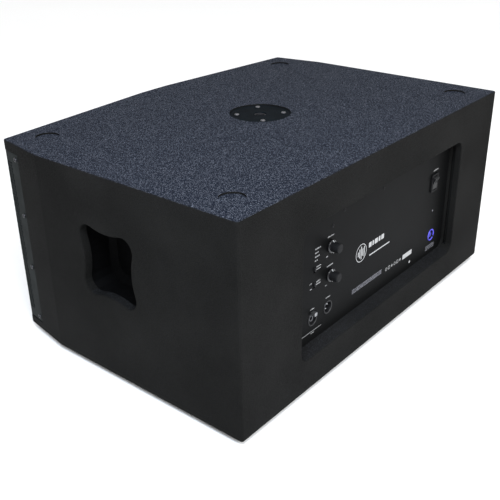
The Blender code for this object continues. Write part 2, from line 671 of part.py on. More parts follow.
# ---------------------------------------------------------------- woofers
def make_woofer(side, sign):
    """One driver: its distances run from the baffle's face towards the back of the cabinet."""
    centre = (sign * WOOFER_ACROSS, BAFFLE_FRONT_Y, MIDDLE_Z)
    backward = (0, 1, 0)
    segments = 20
    basket = [(0.1300, -0.0060), (WOOFER_FLANGE_RADIUS, -0.0060), (WOOFER_FLANGE_RADIUS, -GAP),
              (0.1395, -GAP), (0.1390, 0.0200), (0.0850, 0.0750), (0.0780, 0.0850),
              (0.0400, 0.0850), (0.0400, 0.0820), (0.0750, 0.0820), (0.0820, 0.0720), (0.1290, 0.0150)]
    turned(f"woofer_basket_{side}", basket, centre, backward, "driver_steel", segments)
    magnet = [(0.0, 0.0650), (0.0340, 0.0650), (0.0340, 0.0853), (0.0780, 0.0853),
              (0.0780, 0.1150), (0.0, 0.1150)]
    turned(f"woofer_magnet_{side}", magnet, centre, backward, "driver_steel", segments)
    cone = [(0.1170, 0.0000), (0.1190, 0.0020), (0.0500, 0.0500), (0.0380, 0.0520), (0.0380, 0.0730),
            (0.0368, 0.0730), (0.0368, 0.0500), (0.0490, 0.0470)]
    turned(f"woofer_cone_{side}", cone, centre, backward, "cone_paper", segments)
    cap = [(0.0, 0.0290), (0.0250, 0.0325), (0.0435, 0.0410), (0.0500, 0.0453), (0.0460, 0.0457),
           (0.0240, 0.0345), (0.0, 0.0305)]
    turned(f"dust_cap_{side}", cap, centre, backward, "cone_paper", segments)
    roll = [(0.1200, 0.0010), (0.1225, -0.0060), (0.1260, -0.0085), (0.1297, -0.0060), (0.1297, -0.0020),
            (0.1260, -0.0060), (0.1235, -0.0040), (0.1215, 0.0020)]
    turned(f"woofer_surround_{side}", roll, centre, backward, "rubber", segments)
    spider = [(0.0386, 0.0600), (0.0520, 0.0580), (0.0660, 0.0620), (0.0760, 0.0600), (0.0760, 0.0612),
              (0.0660, 0.0632), (0.0520, 0.0592), (0.0386, 0.0612)]
    turned(f"woofer_spider_{side}", spider, centre, backward, "cone_paper", segments)


# ---------------------------------------------------------------- amplifier panel
def on_panel(place, proud=0.0):
    """A point on the amplifier panel's face, or proud of it."""
    return (place[0], PLATE_FACE_Y + proud, BASE_Z + place[1])


def box_outline(place, half_across, half_up, radius=0.0):
    """A rectangle round a place on the amplifier panel."""
    x, z = place[0], BASE_Z + place[1]
    return rectangle(x - half_across, z - half_up, x + half_across, z + half_up, radius)


def make_amp_plate():
    outline = recess_outline(RECESS_DEPTH, -PLATE_CLEARANCE)
    plate = prism("amp_plate", outline, "Y", PLATE_BACK_Y, PLATE_FACE_Y, "panel_paint")
    shaft, socket = SHAFT_HOLE_RADIUS, SOCKET_BODY_RADIUS + GAP
    round_holes = {"level": (LEVEL_KNOB, shaft), "crossover": (CROSSOVER_KNOB, shaft),
                   "input": (SIGNAL_INPUT, socket), "output": (SIGNAL_OUTPUT, socket),
                   "mains": (MAINS_INLET, socket)}
    for name, (place, radius) in round_holes.items():
        hole = f"panel_hole_{name}"
        cut(plate, round_cutter(hole, radius, on_panel(place), (0, 1, 0), PLATE_THICK + 0.002, segments=20))
    windows = {"upper_switch": (UPPER_SWITCH, SWITCH_SLOT_HALF),
               "lower_switch": (LOWER_SWITCH, SWITCH_SLOT_HALF),
               "rocker": (POWER_ROCKER, [half + GAP for half in BARREL_HALF]),
               "latch": (INPUT_LATCH, [half + 2 * GAP for half in LATCH_HALF])}
    back, front = PLATE_BACK_Y - 0.002, PLATE_FACE_Y + 0.002
    for name, (place, half) in windows.items():
        cut(plate, cutter(prism(f"panel_window_{name}", box_outline(place, *half), "Y", back, front, None)))


def make_knobs():
    """Skirted knobs with a pointer groove, each on the stub of its potentiometer's shaft."""
    profile = [(0, -0.010), (KNOB_SHAFT_RADIUS, -0.010), (KNOB_SHAFT_RADIUS, 0.0008),
               (KNOB_SKIRT_RADIUS - 0.0005, 0.0008), (KNOB_SKIRT_RADIUS, 0.0014), (KNOB_SKIRT_RADIUS, 0.0030),
               (KNOB_GRIP_RADIUS + 0.0010, 0.0048), (KNOB_GRIP_RADIUS + 0.0003, 0.0060),
               (KNOB_GRIP_RADIUS - 0.0003, KNOB_PROUD - 0.0012), (KNOB_GRIP_RADIUS - 0.0013, KNOB_PROUD),
               (0, KNOB_PROUD)]
    groove = rectangle(-0.0005, 0.0020, 0.0005, 0.0085)
    for name, place in (("level_knob", LEVEL_KNOB), ("crossover_knob", CROSSOVER_KNOB)):
        knob = turned(name, profile, on_panel(place), (0, 1, 0), "black_plastic")
        pointer = prism(f"{name}_groove", groove, "Y", KNOB_PROUD - 0.0005, KNOB_PROUD + 0.002, None)
        pointer.parent = knob
        cut(knob, cutter(pointer))


def make_switches():
    """The sliders of two slide switches, at the upper end of their travel."""
    outline = rectangle(-SLIDER_HALF[0], -SLIDER_HALF[1], SLIDER_HALF[0], SLIDER_HALF[1])
    for name, place in (("polarity_switch", UPPER_SWITCH), ("ground_switch", LOWER_SWITCH)):
        slider = prism(name, outline, "Y", -0.008, 0.0028, "black_plastic")
        slider.location = (place[0], PLATE_FACE_Y, BASE_Z + place[1] + 0.0015)


def polar(distance, angle):
    """A point of the rocker's side profile: outwards and up from the pivot."""
    return (distance * math.cos(angle), distance * math.sin(angle))


def rocker_profile():
    """The key from the side: two noses with a valley between them, and ends that follow the noses' path."""
    lower = -ROCKER_NOSE_ANGLE - ROCKER_THROW
    end = math.radians(33)
    points = arc((0, 0), ROCKER_REACH, lower - end / 2, lower, 2)
    points.append(polar(ROCKER_VALLEY, -ROCKER_THROW / 2))
    points += arc((0, 0), ROCKER_REACH, ROCKER_NOSE_ANGLE, ROCKER_NOSE_ANGLE + end, 4)
    return points + [(-0.0045, 0.0050), (-0.0045, -0.0050)]


def make_rocker():
    """The mains switch: a rocker that turns about a level axis in its bezel."""
    front = PLATE_FACE_Y + GAP
    frame = box_outline(POWER_ROCKER, *BEZEL_HALF, 0.002)
    bezel = prism("rocker_bezel", frame, "Y", front, front + BEZEL_PROUD, "black_plastic")
    barrel = box_outline(POWER_ROCKER, *BARREL_HALF)
    join(bezel, prism("rocker_barrel_tool", barrel, "Y", PLATE_BACK_Y - BARREL_DEPTH, front + 0.001, None))
    hollow = box_outline(POWER_ROCKER, *HOLLOW_HALF)
    cut(bezel, cutter(prism("rocker_hollow", hollow, "Y", PLATE_BACK_Y - HOLLOW_DEPTH, front + 0.010, None)))
    width = ROCKER_KEY_HALF_WIDTH
    key = prism("rocker_key", rocker_profile(), "X", -width, width, "black_plastic")
    key.location = on_panel(POWER_ROCKER, -ROCKER_PIVOT_DEPTH)


def rear_socket(name, place, finish, core=0.0):
    """A socket held from behind the panel: its round body shows, with a bore that may hold a core."""
    back = PLATE_BACK_Y - GAP
    outline = box_outline(place, *SOCKET_FLANGE_HALF, 0.003)
    socket = prism(name, outline, "Y", back - SOCKET_FLANGE_THICK, back, finish)
    front = on_panel(place, SOCKET_PROUD)
    outward = (0, 1, 0)
    body = [(0, -SOCKET_BODY_DEPTH), (SOCKET_BODY_RADIUS, -SOCKET_BODY_DEPTH), (SOCKET_BODY_RADIUS, -0.0005),
            (SOCKET_BODY_RADIUS - 0.0005, 0), (0, 0)]
    join(socket, turned(f"{name}_body_tool", body, front, outward, None))
    bore = [(core, -SOCKET_BORE_DEPTH), (SOCKET_BORE_RADIUS, -SOCKET_BORE_DEPTH), (SOCKET_BORE_RADIUS, 0.010),
            (core, 0.010)]
    cut(socket, cutter(turned(f"{name}_bore", bore, on_panel(place), outward, None)))
    return socket


def make_sockets():
    """The signal input and output sockets, the input's latch, and the mains inlet."""
    signal_in = rear_socket("signal_input", SIGNAL_INPUT, "black_plastic")
    slot = box_outline(INPUT_LATCH, LATCH_HALF[0] + GAP, LATCH_HALF[1] + GAP)
    cut(signal_in, cutter(prism("latch_slot", slot, "Y", PLATE_FACE_Y - 0.012, PLATE_FACE_Y + 0.010, None)))
    outline = rectangle(-LATCH_HALF[0], -LATCH_HALF[1], LATCH_HALF[0], LATCH_HALF[1])
    latch = prism("input_latch", outline, "Y", -0.0030, LATCH_PROUD, "latch_metal")
    latch.location = on_panel(INPUT_LATCH)
    signal_out = rear_socket("signal_output", SIGNAL_OUTPUT, "black_plastic")
    low, high = -SOCKET_BORE_DEPTH - 0.002, CONTACT_LENGTH - SOCKET_BORE_DEPTH - 0.002
    pin = [(0, low), (CONTACT_RADIUS, low), (CONTACT_RADIUS, high), (0, high)]
    for i in range(3):
        angle = -math.pi / 2 + i * 2 * math.pi / 3
        across = SIGNAL_OUTPUT[0] + CONTACT_CIRCLE * math.cos(angle)
        up = SIGNAL_OUTPUT[1] + CONTACT_CIRCLE * math.sin(angle)
        join(signal_out, turned(f"pin_tool_{i}", pin, on_panel((across, up)), (0, 1, 0), None, segments=8))
    rear_socket("mains_inlet", MAINS_INLET, "inlet_blue", core=INLET_CORE_RADIUS)


def make_electronics():
    """What the panel carries inside: a finned heatsink, a circuit board and a mains transformer."""
    back = PLATE_BACK_Y - GAP
    fins, pitch, thick, reach = 9, 0.010, 0.0025, 0.040
    low, high = BASE_Z + 0.150, BASE_Z + 0.260
    start = -0.130
    points = [(start, back)]
    for i in range(fins):
        x = start + i * pitch
        points += [(x, back - reach), (x + thick, back - reach), (x + thick, back - 0.006)]
        if i < fins - 1:
            points.append((x + pitch, back - 0.006))
    points.append((start + (fins - 1) * pitch + thick, back))
    prism("heatsink", points, "Z", low, high, "aluminium")
    board = rectangle(-0.150, BASE_Z + 0.078, 0.115, BASE_Z + 0.142)
    prism("amp_circuit_board", board, "Y", back - 0.030, back - 0.0284, "circuit_board")
    ring = [(0.012, 0), (0.040, 0), (0.040, -0.036), (0.012, -0.036)]
    turned("transformer", ring, (0.045, back - 0.002, BASE_Z + 0.205), (0, 1, 0), "copper")


def main():
    for old in list(bpy.data.objects):
        bpy.data.objects.remove(old, do_unlink=True)
    make_top_board()
    make_bottom_board()
    make_side_boards()
    make_rear_board()
    frame_back = make_amp_frame()
    make_amp_chamber(frame_back)
    make_baffle()
    make_ports()
    make_brace()
    make_handle_cups()
    make_grille()
    make_grille_foam()
    make_grille_screws()
    make_feet()
    make_pole_flange()
    make_woofer("right", 1)
    make_woofer("left", -1)
    make_amp_plate()
    make_knobs()
    make_switches()
    make_rocker()
    make_sockets()
    make_electronics()


main()
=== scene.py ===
"""Looks of the active subwoofer: paint, perforated steel, connectors, knobs and printing.

Everything is in metres in the cabinet's own frame: +Z up, grille towards -Y, amplifier panel
towards +Y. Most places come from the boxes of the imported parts.
"""

import json
import math
import random

import bmesh
import bpy
from mathutils import Matrix, Vector


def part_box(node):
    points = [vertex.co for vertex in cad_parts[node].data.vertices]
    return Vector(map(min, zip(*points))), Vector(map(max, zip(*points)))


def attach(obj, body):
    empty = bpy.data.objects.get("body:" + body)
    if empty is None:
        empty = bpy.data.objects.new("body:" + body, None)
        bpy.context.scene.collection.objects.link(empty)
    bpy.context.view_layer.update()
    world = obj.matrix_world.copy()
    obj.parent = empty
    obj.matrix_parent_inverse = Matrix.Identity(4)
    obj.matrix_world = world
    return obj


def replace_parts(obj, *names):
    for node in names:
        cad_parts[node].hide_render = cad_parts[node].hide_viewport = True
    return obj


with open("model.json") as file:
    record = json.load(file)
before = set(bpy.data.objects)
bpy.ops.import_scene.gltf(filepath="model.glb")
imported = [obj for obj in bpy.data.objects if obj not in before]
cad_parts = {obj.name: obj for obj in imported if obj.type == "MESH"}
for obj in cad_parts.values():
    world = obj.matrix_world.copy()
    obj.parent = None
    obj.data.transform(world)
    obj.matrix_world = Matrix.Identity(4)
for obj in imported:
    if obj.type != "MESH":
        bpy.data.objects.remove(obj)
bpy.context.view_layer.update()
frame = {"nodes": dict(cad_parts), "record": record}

NODES = frame["nodes"]


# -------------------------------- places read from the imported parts
def centre(node):
    """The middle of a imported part's box."""
    low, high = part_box(node)
    return (low + high) / 2


def panel_place(node):
    """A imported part's middle as a place on the panel: across, and above the cabinet's underside."""
    middle = centre(node)
    return middle.x, middle.z - BODY_BASE_Z


def seat_of(node):
    """The place on the panel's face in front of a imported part's middle."""
    middle = centre(node)
    return Vector((middle.x, PANEL_Y, middle.z))


TOP_LOW, TOP_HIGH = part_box("top_board")
BOTTOM_HIGH_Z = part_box("bottom_board")[1].z
SIDE_LOW, SIDE_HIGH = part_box("side_board_right")
REAR_LOW, REAR_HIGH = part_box("rear_board")
GRILLE_LOW, GRILLE_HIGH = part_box("grille")
PLATE_LOW, PLATE_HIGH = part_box("amp_plate")
PANEL_Y = PLATE_HIGH.y
BODY_BASE_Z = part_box("bottom_board")[0].z
HALF_WIDTH = TOP_HIGH.x
REAR_Y = TOP_HIGH.y
FRONT_Y = TOP_LOW.y
TOP_Z = TOP_HIGH.z

# The plan outline's corners, as the boards are cut.
BEND = Vector((HALF_WIDTH, REAR_Y - 0.412))
FRONT_CORNER = Vector((HALF_WIDTH - 0.017, REAR_Y - 0.518))
NOSE = Vector((0.033, FRONT_Y))
CHEEK_ALONG = (FRONT_CORNER - BEND).normalized()


# -------------------------------- node materials
class Surface:
    """A procedural Principled material, with short calls for the nodes it is made from."""

    def __init__(self, name, colour, roughness, metallic=0.0):
        self.material = bpy.data.materials.new(name)
        self.material.use_nodes = True
        self.material.diffuse_color = (*colour, 1.0)
        self.tree = self.material.node_tree
        self.shader = self.tree.nodes["Principled BSDF"]
        self.set("Base Color", (*colour, 1.0))
        self.set("Roughness", roughness)
        self.set("Metallic", metallic)
        self.place = self.add("ShaderNodeTexCoord").outputs["Object"]

    def set(self, socket, value):
        self.shader.inputs[socket].default_value = value

    def add(self, kind, links=None, **settings):
        """A node with its settings and the sockets that feed it, or plain values for them."""
        node = self.tree.nodes.new(kind)
        for key, value in settings.items():
            setattr(node, key, value)
        for socket, source in (links or {}).items():
            if isinstance(source, bpy.types.NodeSocket):
                self.tree.links.new(source, node.inputs[socket])
            else:
                node.inputs[socket].default_value = source
        return node

    def stretched(self, scale):
        """The place in the object, stretched along its axes."""
        return self.add("ShaderNodeMapping", {"Vector": self.place, "Scale": scale}).outputs["Vector"]

    def noise(self, scale, detail=3.0, roughness=0.5, place=None):
        links = {"Vector": place or self.place, "Scale": scale, "Detail": detail, "Roughness": roughness}
        return self.add("ShaderNodeTexNoise", links).outputs["Fac"]

    def grains(self, scale, randomness=1.0):
        links = {"Vector": self.place, "Scale": scale, "Randomness": randomness}
        return self.add("ShaderNodeTexVoronoi", links).outputs["Distance"]

    def spread(self, source, low_in, high_in, low_out=0.0, high_out=1.0):
        """Map a range of a value onto another, and clamp it."""
        links = {"Value": source, "From Min": low_in, "From Max": high_in,
                 "To Min": low_out, "To Max": high_out}
        return self.add("ShaderNodeMapRange", links).outputs["Result"]

    def math(self, operation, first, second):
        return self.add("ShaderNodeMath", {0: first, 1: second}, operation=operation).outputs[0]

    def colour_mix(self, factor, first, second):
        node = self.add("ShaderNodeMix", data_type="RGBA")
        self.tree.links.new(factor, node.inputs["Factor"])
        for socket, value in (("A", first), ("B", second)):
            target = [s for s in node.inputs if s.name == socket and s.type == "RGBA"][0]
            if isinstance(value, bpy.types.NodeSocket):
                self.tree.links.new(value, target)
            else:
                target.default_value = (*value, 1.0)
        return [s for s in node.outputs if s.type == "RGBA"][0]

    def feed(self, socket, source):
        self.tree.links.new(source, self.shader.inputs[socket])

    def tint(self, source, low, high, first, second):
        """Let the base colour go from first to second as a value goes from low to high."""
        self.feed("Base Color", self.colour_mix(self.spread(source, low, high), first, second))

    def roughen(self, source, low, high, first, second):
        """Let the roughness go from first to second as a value goes from low to high."""
        self.feed("Roughness", self.spread(source, low, high, first, second))

    def bump(self, height, distance, strength=1.0):
        """Feed a height in units of distance to the shader's normal."""
        links = {"Height": height, "Distance": distance, "Strength": strength}
        self.feed("Normal", self.add("ShaderNodeBump", links).outputs["Normal"])


def scaled(colour, factor):
    """A colour made lighter or darker."""
    return tuple(factor * c for c in colour)


GRAINS_PER_METRE = 900.0        # of the structure paint


def structure_paint():
    """Black structure paint on wood: grains under two millimetres across, with painted light where it faces
    up near the top.
    """
    s = Surface("structure_paint", (0.0115, 0.0115, 0.0117), 0.55)
    s.set("Specular IOR Level", 0.012)
    grain = s.grains(GRAINS_PER_METRE)
    fine = s.noise(1300.0, 2.0)
    drift = s.noise(7.0, 3.0)
    crest = s.spread(grain, 0.10, 0.62, 1.0, 0.0)
    shade = s.math("ADD", s.spread(drift, 0.35, 0.65, 0.0, 0.4), s.math("MULTIPLY", crest, 0.6))
    body = s.colour_mix(shade, (0.0060, 0.0060, 0.0058), (0.0152, 0.0151, 0.0147))
    # Painted light: on up-facing paint near the top the colour turns bluish, with bright painted glints on
    # the crests of the lighter grains.
    tone = s.add("ShaderNodeTexVoronoi", {"Vector": s.place, "Scale": GRAINS_PER_METRE}).outputs["Color"]
    lightness = s.add("ShaderNodeSeparateColor", {"Color": tone}).outputs["Red"]
    sheen_glints = s.math("MULTIPLY", s.spread(lightness, 0.55, 1.00), s.spread(crest, 0.0, 0.5))
    dust_and_sheen = s.colour_mix(sheen_glints, (0.0060, 0.0080, 0.0140), (0.1650, 0.1820, 0.2230))
    normal = s.add("ShaderNodeNewGeometry").outputs["Normal"]
    upward = s.add("ShaderNodeSeparateXYZ", {"Vector": normal}).outputs["Z"]
    height = s.add("ShaderNodeSeparateXYZ", {"Vector": s.place}).outputs["Z"]
    # Painted light on the top: full where the paint faces up near the top, a tenth of it on up-facing paint
    # lower down.
    near_top = s.spread(height, TOP_Z - 0.030, TOP_Z - 0.020, 0.10, 1.0)
    painted_top_light = s.math("MULTIPLY", s.spread(upward, 0.80, 0.98), near_top)
    s.feed("Base Color", s.colour_mix(painted_top_light, body, dust_and_sheen))
    s.roughen(crest, 0.0, 1.0, 0.64, 0.46)
    relief = s.math("ADD", crest, s.math("MULTIPLY", fine, 0.4))
    s.bump(relief, 0.00030)
    return s.material


def powder_coat(name, colour, roughness, gloss=0.5):
    """Thin powder coat on steel: fine orange peel and slight changes in gloss."""
    s = Surface(name, colour, roughness)
    s.set("Specular IOR Level", gloss)
    peel = s.noise(2600.0, 2.0)
    cloud = s.noise(38.0, 3.0)
    s.tint(cloud, 0.3, 0.7, scaled(colour, 0.78), scaled(colour, 1.25))
    s.roughen(peel, 0.3, 0.7, roughness - 0.07, roughness + 0.08)
    s.bump(peel, 0.00003, 0.8)
    return s.material


def moulded_plastic(name, colour, roughness, gloss=0.5, grain_scale=3200.0, depth=0.00002):
    """Spark-eroded plastic: a fine even grain, with wear that makes patches a little glossier."""
    s = Surface(name, colour, roughness)
    s.set("Specular IOR Level", gloss)
    grain = s.grains(grain_scale)
    wear = s.noise(120.0, 4.0)
    s.roughen(wear, 0.35, 0.7, roughness + 0.06, roughness - 0.08)
    s.tint(wear, 0.3, 0.75, colour, scaled(colour, 1.35))
    s.bump(grain, depth, 0.6)
    return s.material


def bare_metal(name, colour, roughness):
    """Plated or turned metal with fine drawn marks."""
    s = Surface(name, colour, roughness, 1.0)
    moved = s.stretched((1.0, 1.0, 18.0))
    marks = s.noise(900.0, 3.0, place=moved)
    stain = s.noise(160.0, 3.0)
    s.roughen(marks, 0.3, 0.7, roughness - 0.06, roughness + 0.12)
    s.tint(stain, 0.35, 0.75, colour, scaled(colour, 0.72))
    s.bump(marks, 0.00001, 0.5)
    return s.material


def birch_ply():
    """Bare birch plywood: thin light and dark plies with a wavy grain."""
    s = Surface("birch_ply", (0.46, 0.33, 0.20), 0.7)
    moved = s.stretched((6.0, 6.0, 90.0))
    grain = s.noise(14.0, 5.0, place=moved)
    s.tint(grain, 0.35, 0.65, (0.38, 0.26, 0.15), (0.55, 0.41, 0.26))
    s.roughen(grain, 0.3, 0.7, 0.62, 0.8)
    s.bump(grain, 0.0002, 0.5)
    return s.material


def soft_rubber():
    """Moulded rubber, dusty in patches."""
    colour = (0.016, 0.016, 0.017)
    s = Surface("moulded_rubber", colour, 0.78)
    dust_and_sheen = s.noise(260.0, 4.0)
    s.tint(dust_and_sheen, 0.5, 0.8, colour, (0.05, 0.05, 0.05))
    s.roughen(dust_and_sheen, 0.3, 0.7, 0.7, 0.86)
    s.bump(s.noise(1800.0, 2.0), 0.00004, 0.6)
    return s.material


def open_foam():
    """Open-cell acoustic foam: pores about a millimetre wide."""
    s = Surface("open_foam", (0.010, 0.010, 0.011), 0.95)
    pores = s.grains(1100.0)
    s.tint(pores, 0.1, 0.5, (0.004, 0.004, 0.004), (0.020, 0.020, 0.022))
    s.bump(pores, 0.0006)
    return s.material


def panel_paint():
    """Satin black paint on the aluminium panel."""
    s = Surface("panel_paint", (0.0030, 0.0031, 0.0032), 0.50)
    s.set("Specular IOR Level", 0.035)
    fine = s.noise(2400.0, 2.0)
    cloud = s.noise(14.0, 2.0)
    s.tint(cloud, 0.3, 0.7, (0.0026, 0.0027, 0.0028), (0.0034, 0.0035, 0.0036))
    s.roughen(fine, 0.3, 0.7, 0.42, 0.52)
    s.bump(fine, 0.000025, 0.7)
    return s.material


def screen_ink(name, colour):
    """Screen-printed ink: matt, a little uneven in its cover."""
    s = Surface(name, colour, 0.6)
    cover = s.noise(1400.0, 3.0)
    s.tint(cover, 0.25, 0.5, scaled(colour, 0.62), colour)
    s.roughen(cover, 0.3, 0.7, 0.5, 0.7)
    return s.material


def cone_paper():
    """Pressed cone paper: fibres and a dull coating."""
    s = Surface("cone_paper", (0.022, 0.022, 0.022), 0.8)
    fibre = s.noise(420.0, 6.0, 0.7)
    s.tint(fibre, 0.3, 0.7, (0.014, 0.014, 0.014), (0.034, 0.034, 0.034))
    s.roughen(fibre, 0.3, 0.7, 0.7, 0.9)
    s.bump(fibre, 0.0001, 0.7)
    return s.material


def circuit_laminate():
    """Glass-fibre circuit board under green solder mask."""
    s = Surface("circuit_laminate", (0.02, 0.16, 0.07), 0.35)
    tracks = s.grains(260.0, 0.3)
    s.tint(tracks, 0.3, 0.34, (0.02, 0.11, 0.05), (0.03, 0.20, 0.09))
    s.roughen(tracks, 0.2, 0.5, 0.3, 0.45)
    return s.material


def studio_floor():
    """A pale seamless floor with very faint unevenness."""
    s = Surface("studio_floor", (0.93, 0.93, 0.93), 0.75)
    cloud = s.noise(1.4, 2.0)
    s.tint(cloud, 0.3, 0.7, (0.925, 0.925, 0.925), (0.94, 0.94, 0.94))
    return s.material


MATERIALS = {
    "paint": structure_paint(),
    "grille": powder_coat("grille_coat", (0.0130, 0.0150, 0.0150), 0.50, 0.02),
    "flange": powder_coat("flange_coat", (0.0034, 0.0050, 0.0064), 0.60, 0.008),
    "driver": powder_coat("driver_coat", (0.05, 0.05, 0.055), 0.4),
    "plastic": moulded_plastic("black_plastic", (0.0060, 0.0060, 0.0066), 0.42, 0.30),
    "gloss": moulded_plastic("gloss_plastic", (0.0060, 0.0060, 0.0066), 0.24, 0.45, 900.0, 0.000008),
    "matt": moulded_plastic("matt_plastic", (0.0045, 0.0045, 0.0050), 0.55, 0.10),
    # A darker copy of the black plastic for the handle cup: painted shade inside the handle's recess.
    "cup": moulded_plastic("shaded_cup_plastic", (0.0020, 0.0020, 0.0022), 0.6, 0.06, 1400.0, 0.00005),
    "blue": moulded_plastic("inlet_blue", (0.065, 0.060, 0.50), 0.34, 0.3),
    "deep_blue": moulded_plastic("inlet_deep_blue", (0.030, 0.030, 0.30), 0.34, 0.3),
    "black_screw": bare_metal("blackened_steel", (0.050, 0.050, 0.055), 0.34),
    "dull_screw": bare_metal("darkened_zinc", (0.15, 0.15, 0.16), 0.30),
    "bright": bare_metal("zinc_plate", (0.64, 0.64, 0.66), 0.26),
    "nickel": bare_metal("nickel_plate", (0.82, 0.82, 0.82), 0.16),
    "pewter": bare_metal("satin_nickel", (0.34, 0.34, 0.35), 0.42),
    "aluminium": bare_metal("extruded_aluminium", (0.56, 0.57, 0.58), 0.38),
    "copper": bare_metal("copper_winding", (0.62, 0.30, 0.14), 0.35),
    "wood": birch_ply(),
    "rubber": soft_rubber(),
    "foam": open_foam(),
    "panel": panel_paint(),
    "ink": screen_ink("white_ink", (0.36, 0.36, 0.36)),
    "thin_ink": screen_ink("thin_white_ink", (0.24, 0.24, 0.24)),
    "grey_ink": screen_ink("grey_ink", (0.15, 0.15, 0.17)),
    "paper": cone_paper(),
    "laminate": circuit_laminate(),
}

SLOT_MATERIALS = {
    "cabinet_paint": "paint", "inner_wood": "wood", "grille_steel": "grille", "grille_foam": "foam",
    "black_plastic": "plastic", "black_screw": "black_screw", "bright_screw": "bright",
    "flange_steel": "flange", "rubber": "rubber", "panel_paint": "panel", "aluminium": "aluminium",
    "circuit_board": "laminate", "copper": "copper", "cone_paper": "paper", "inlet_blue": "blue",
    "latch_metal": "nickel", "driver_steel": "driver",
}


def dress_cad_nodes():
    """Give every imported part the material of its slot."""
    slots = {row["node"]: row["material_slot"] for row in frame["record"]["subparts"]}
    for name, node in NODES.items():
        key = SLOT_MATERIALS[slots[name]]
        # The handle cup takes the darker copy of the plastic, as painted shade in its recess.
        if name.startswith("handle_cup"):
            key = "cup"
        node.data.materials.clear()
        node.data.materials.append(MATERIALS[key])


# -------------------------------- making pieces
def new_mesh(name, shape):
    """Turn a bmesh into a mesh."""
    mesh = bpy.data.meshes.new(name)
    shape.to_mesh(mesh)
    shape.free()
    return mesh


def new_object(name, data):
    """Put a mesh, light or camera into the scene."""
    thing = bpy.data.objects.new(name, data)
    bpy.context.scene.collection.objects.link(thing)
    return thing


def finish_mesh(name, shape, material, body="cabinet", smooth_angle=35.0):
    """Turn a bmesh into a piece that rides on a body."""
    bmesh.ops.recalc_face_normals(shape, faces=shape.faces)
    mesh = new_mesh(name, shape)
    mesh.materials.append(MATERIALS[material])
    if smooth_angle:
        mesh.shade_smooth()
        mesh.set_sharp_from_angle(angle=math.radians(smooth_angle))
    piece = new_object(name, mesh)
    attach(piece, body)
    return piece


def add_loft(shape, sections, caps=True):
    """Join closed rings that match point to point."""
    rings = [[shape.verts.new(point) for point in section] for section in sections]
    for lower, upper in zip(rings, rings[1:]):
        for i in range(len(lower)):
            j = (i + 1) % len(lower)
            shape.faces.new((lower[i], lower[j], upper[j], upper[i]))
    if caps:
        shape.faces.new(rings[0])
        shape.faces.new(rings[-1])
    return rings


def circle(radius, count, turn=0.0):
    """Points of a circle in the plane."""
    angles = [turn + 2 * math.pi * i / count for i in range(count)]
    return [(radius * math.cos(a), radius * math.sin(a)) for a in angles]


def rounded_rectangle(half_a, half_b, radius, steps=5):
    """A rectangle with round corners, about the middle."""
    points = []
    for quarter in range(4):
        start = quarter * math.pi / 2
        sign_a = 1 if quarter in (0, 3) else -1
        sign_b = 1 if quarter in (0, 1) else -1
        for i in range(steps + 1):
            angle = start + math.pi / 2 * i / steps
            points.append((sign_a * (half_a - radius) + radius * math.cos(angle),
                           sign_b * (half_b - radius) + radius * math.sin(angle)))
    return points


def placed(outline, depth):
    """A flat outline as points of a piece whose front is +Z."""
    return [Vector((a, b, depth)) for a, b in outline]


def frame_at(place, outward):
    """The matrix that stands a piece's +Z along a direction, with its +Y as near to up as it goes."""
    forward = Vector(outward).normalized()
    side = Vector((0, 0, 1)).cross(forward)
    if side.length < 1e-6:
        side = Vector((1, 0, 0))
    side.normalize()
    above = forward.cross(side)
    turn = Matrix((side, above, forward)).transposed().to_4x4()
    return Matrix.Translation(place) @ turn


def settle(shape, place, outward=(0, 1, 0)):
    """Move a finished shape from the plane it was drawn in to its place."""
    bmesh.ops.transform(shape, matrix=frame_at(place, outward), verts=shape.verts)


def lofted(sections, place=None, outward=(0, 1, 0)):
    """A solid through closed rings that match point to point, in its place if one is given."""
    shape = bmesh.new()
    add_loft(shape, sections)
    if place is not None:
        settle(shape, place, outward)
    return shape


def block(outline, low, high, place=None):
    """A solid with one outline from low to high."""
    return lofted([placed(outline, low), placed(outline, high)], place)


def turned(profile, segments, place, outward=(0, 1, 0), turn=0.0):
    """A solid of revolution in its place; its profile of (radius, height) may touch the axis."""
    shape = bmesh.new()
    rings = []
    for radius, height in profile:
        if radius == 0:
            rings.append([shape.verts.new((0, 0, height))])
        else:
            rings.append([shape.verts.new((a, b, height)) for a, b in circle(radius, segments, turn)])
    pairs = list(zip(rings, rings[1:]))
    if len(rings[0]) > 1 and len(rings[-1]) > 1:
        pairs.append((rings[-1], rings[0]))
    for first, second in pairs:
        for i in range(segments):
            j = (i + 1) % segments
            corners = [first[i % len(first)], first[j % len(first)],
                       second[j % len(second)], second[i % len(second)]]
            unique = [c for k, c in enumerate(corners) if c not in corners[:k]]
            if len(unique) > 2:
                shape.faces.new(unique)
    settle(shape, place, outward)
    return shape


def on_panel(across, above, proud=0.0):
    """A place on the amplifier panel: across, and above the cabinet's underside."""
    return Vector((across, PANEL_Y + proud, BODY_BASE_Z + above))


# -------------------------------- grille
HOLE_PITCH = 0.0060
HOLE_RADIUS = 0.00230
HOLE_SIDES = 10
SHEET = 0.0012
PLAIN_EDGE = 0.022              # the wing's unpunched strip, from its rear edge
PUNCHED_MARGIN = 0.0155         # unpunched above and below
GRILLE_STEP = 0.0004            # how far the sheet's face lies under the boards' edges
GRILLE_START = 0.063            # from the bend to the sheet's rear edge
FOAM_FACE = SHEET + 0.0010      # the lining's faces, measured as the sheet's own is
FOAM_BACK = SHEET + 0.0046
FOAM_EDGE = 0.004               # from the sheet's upper and lower edges
FOAM_STEPS = 240


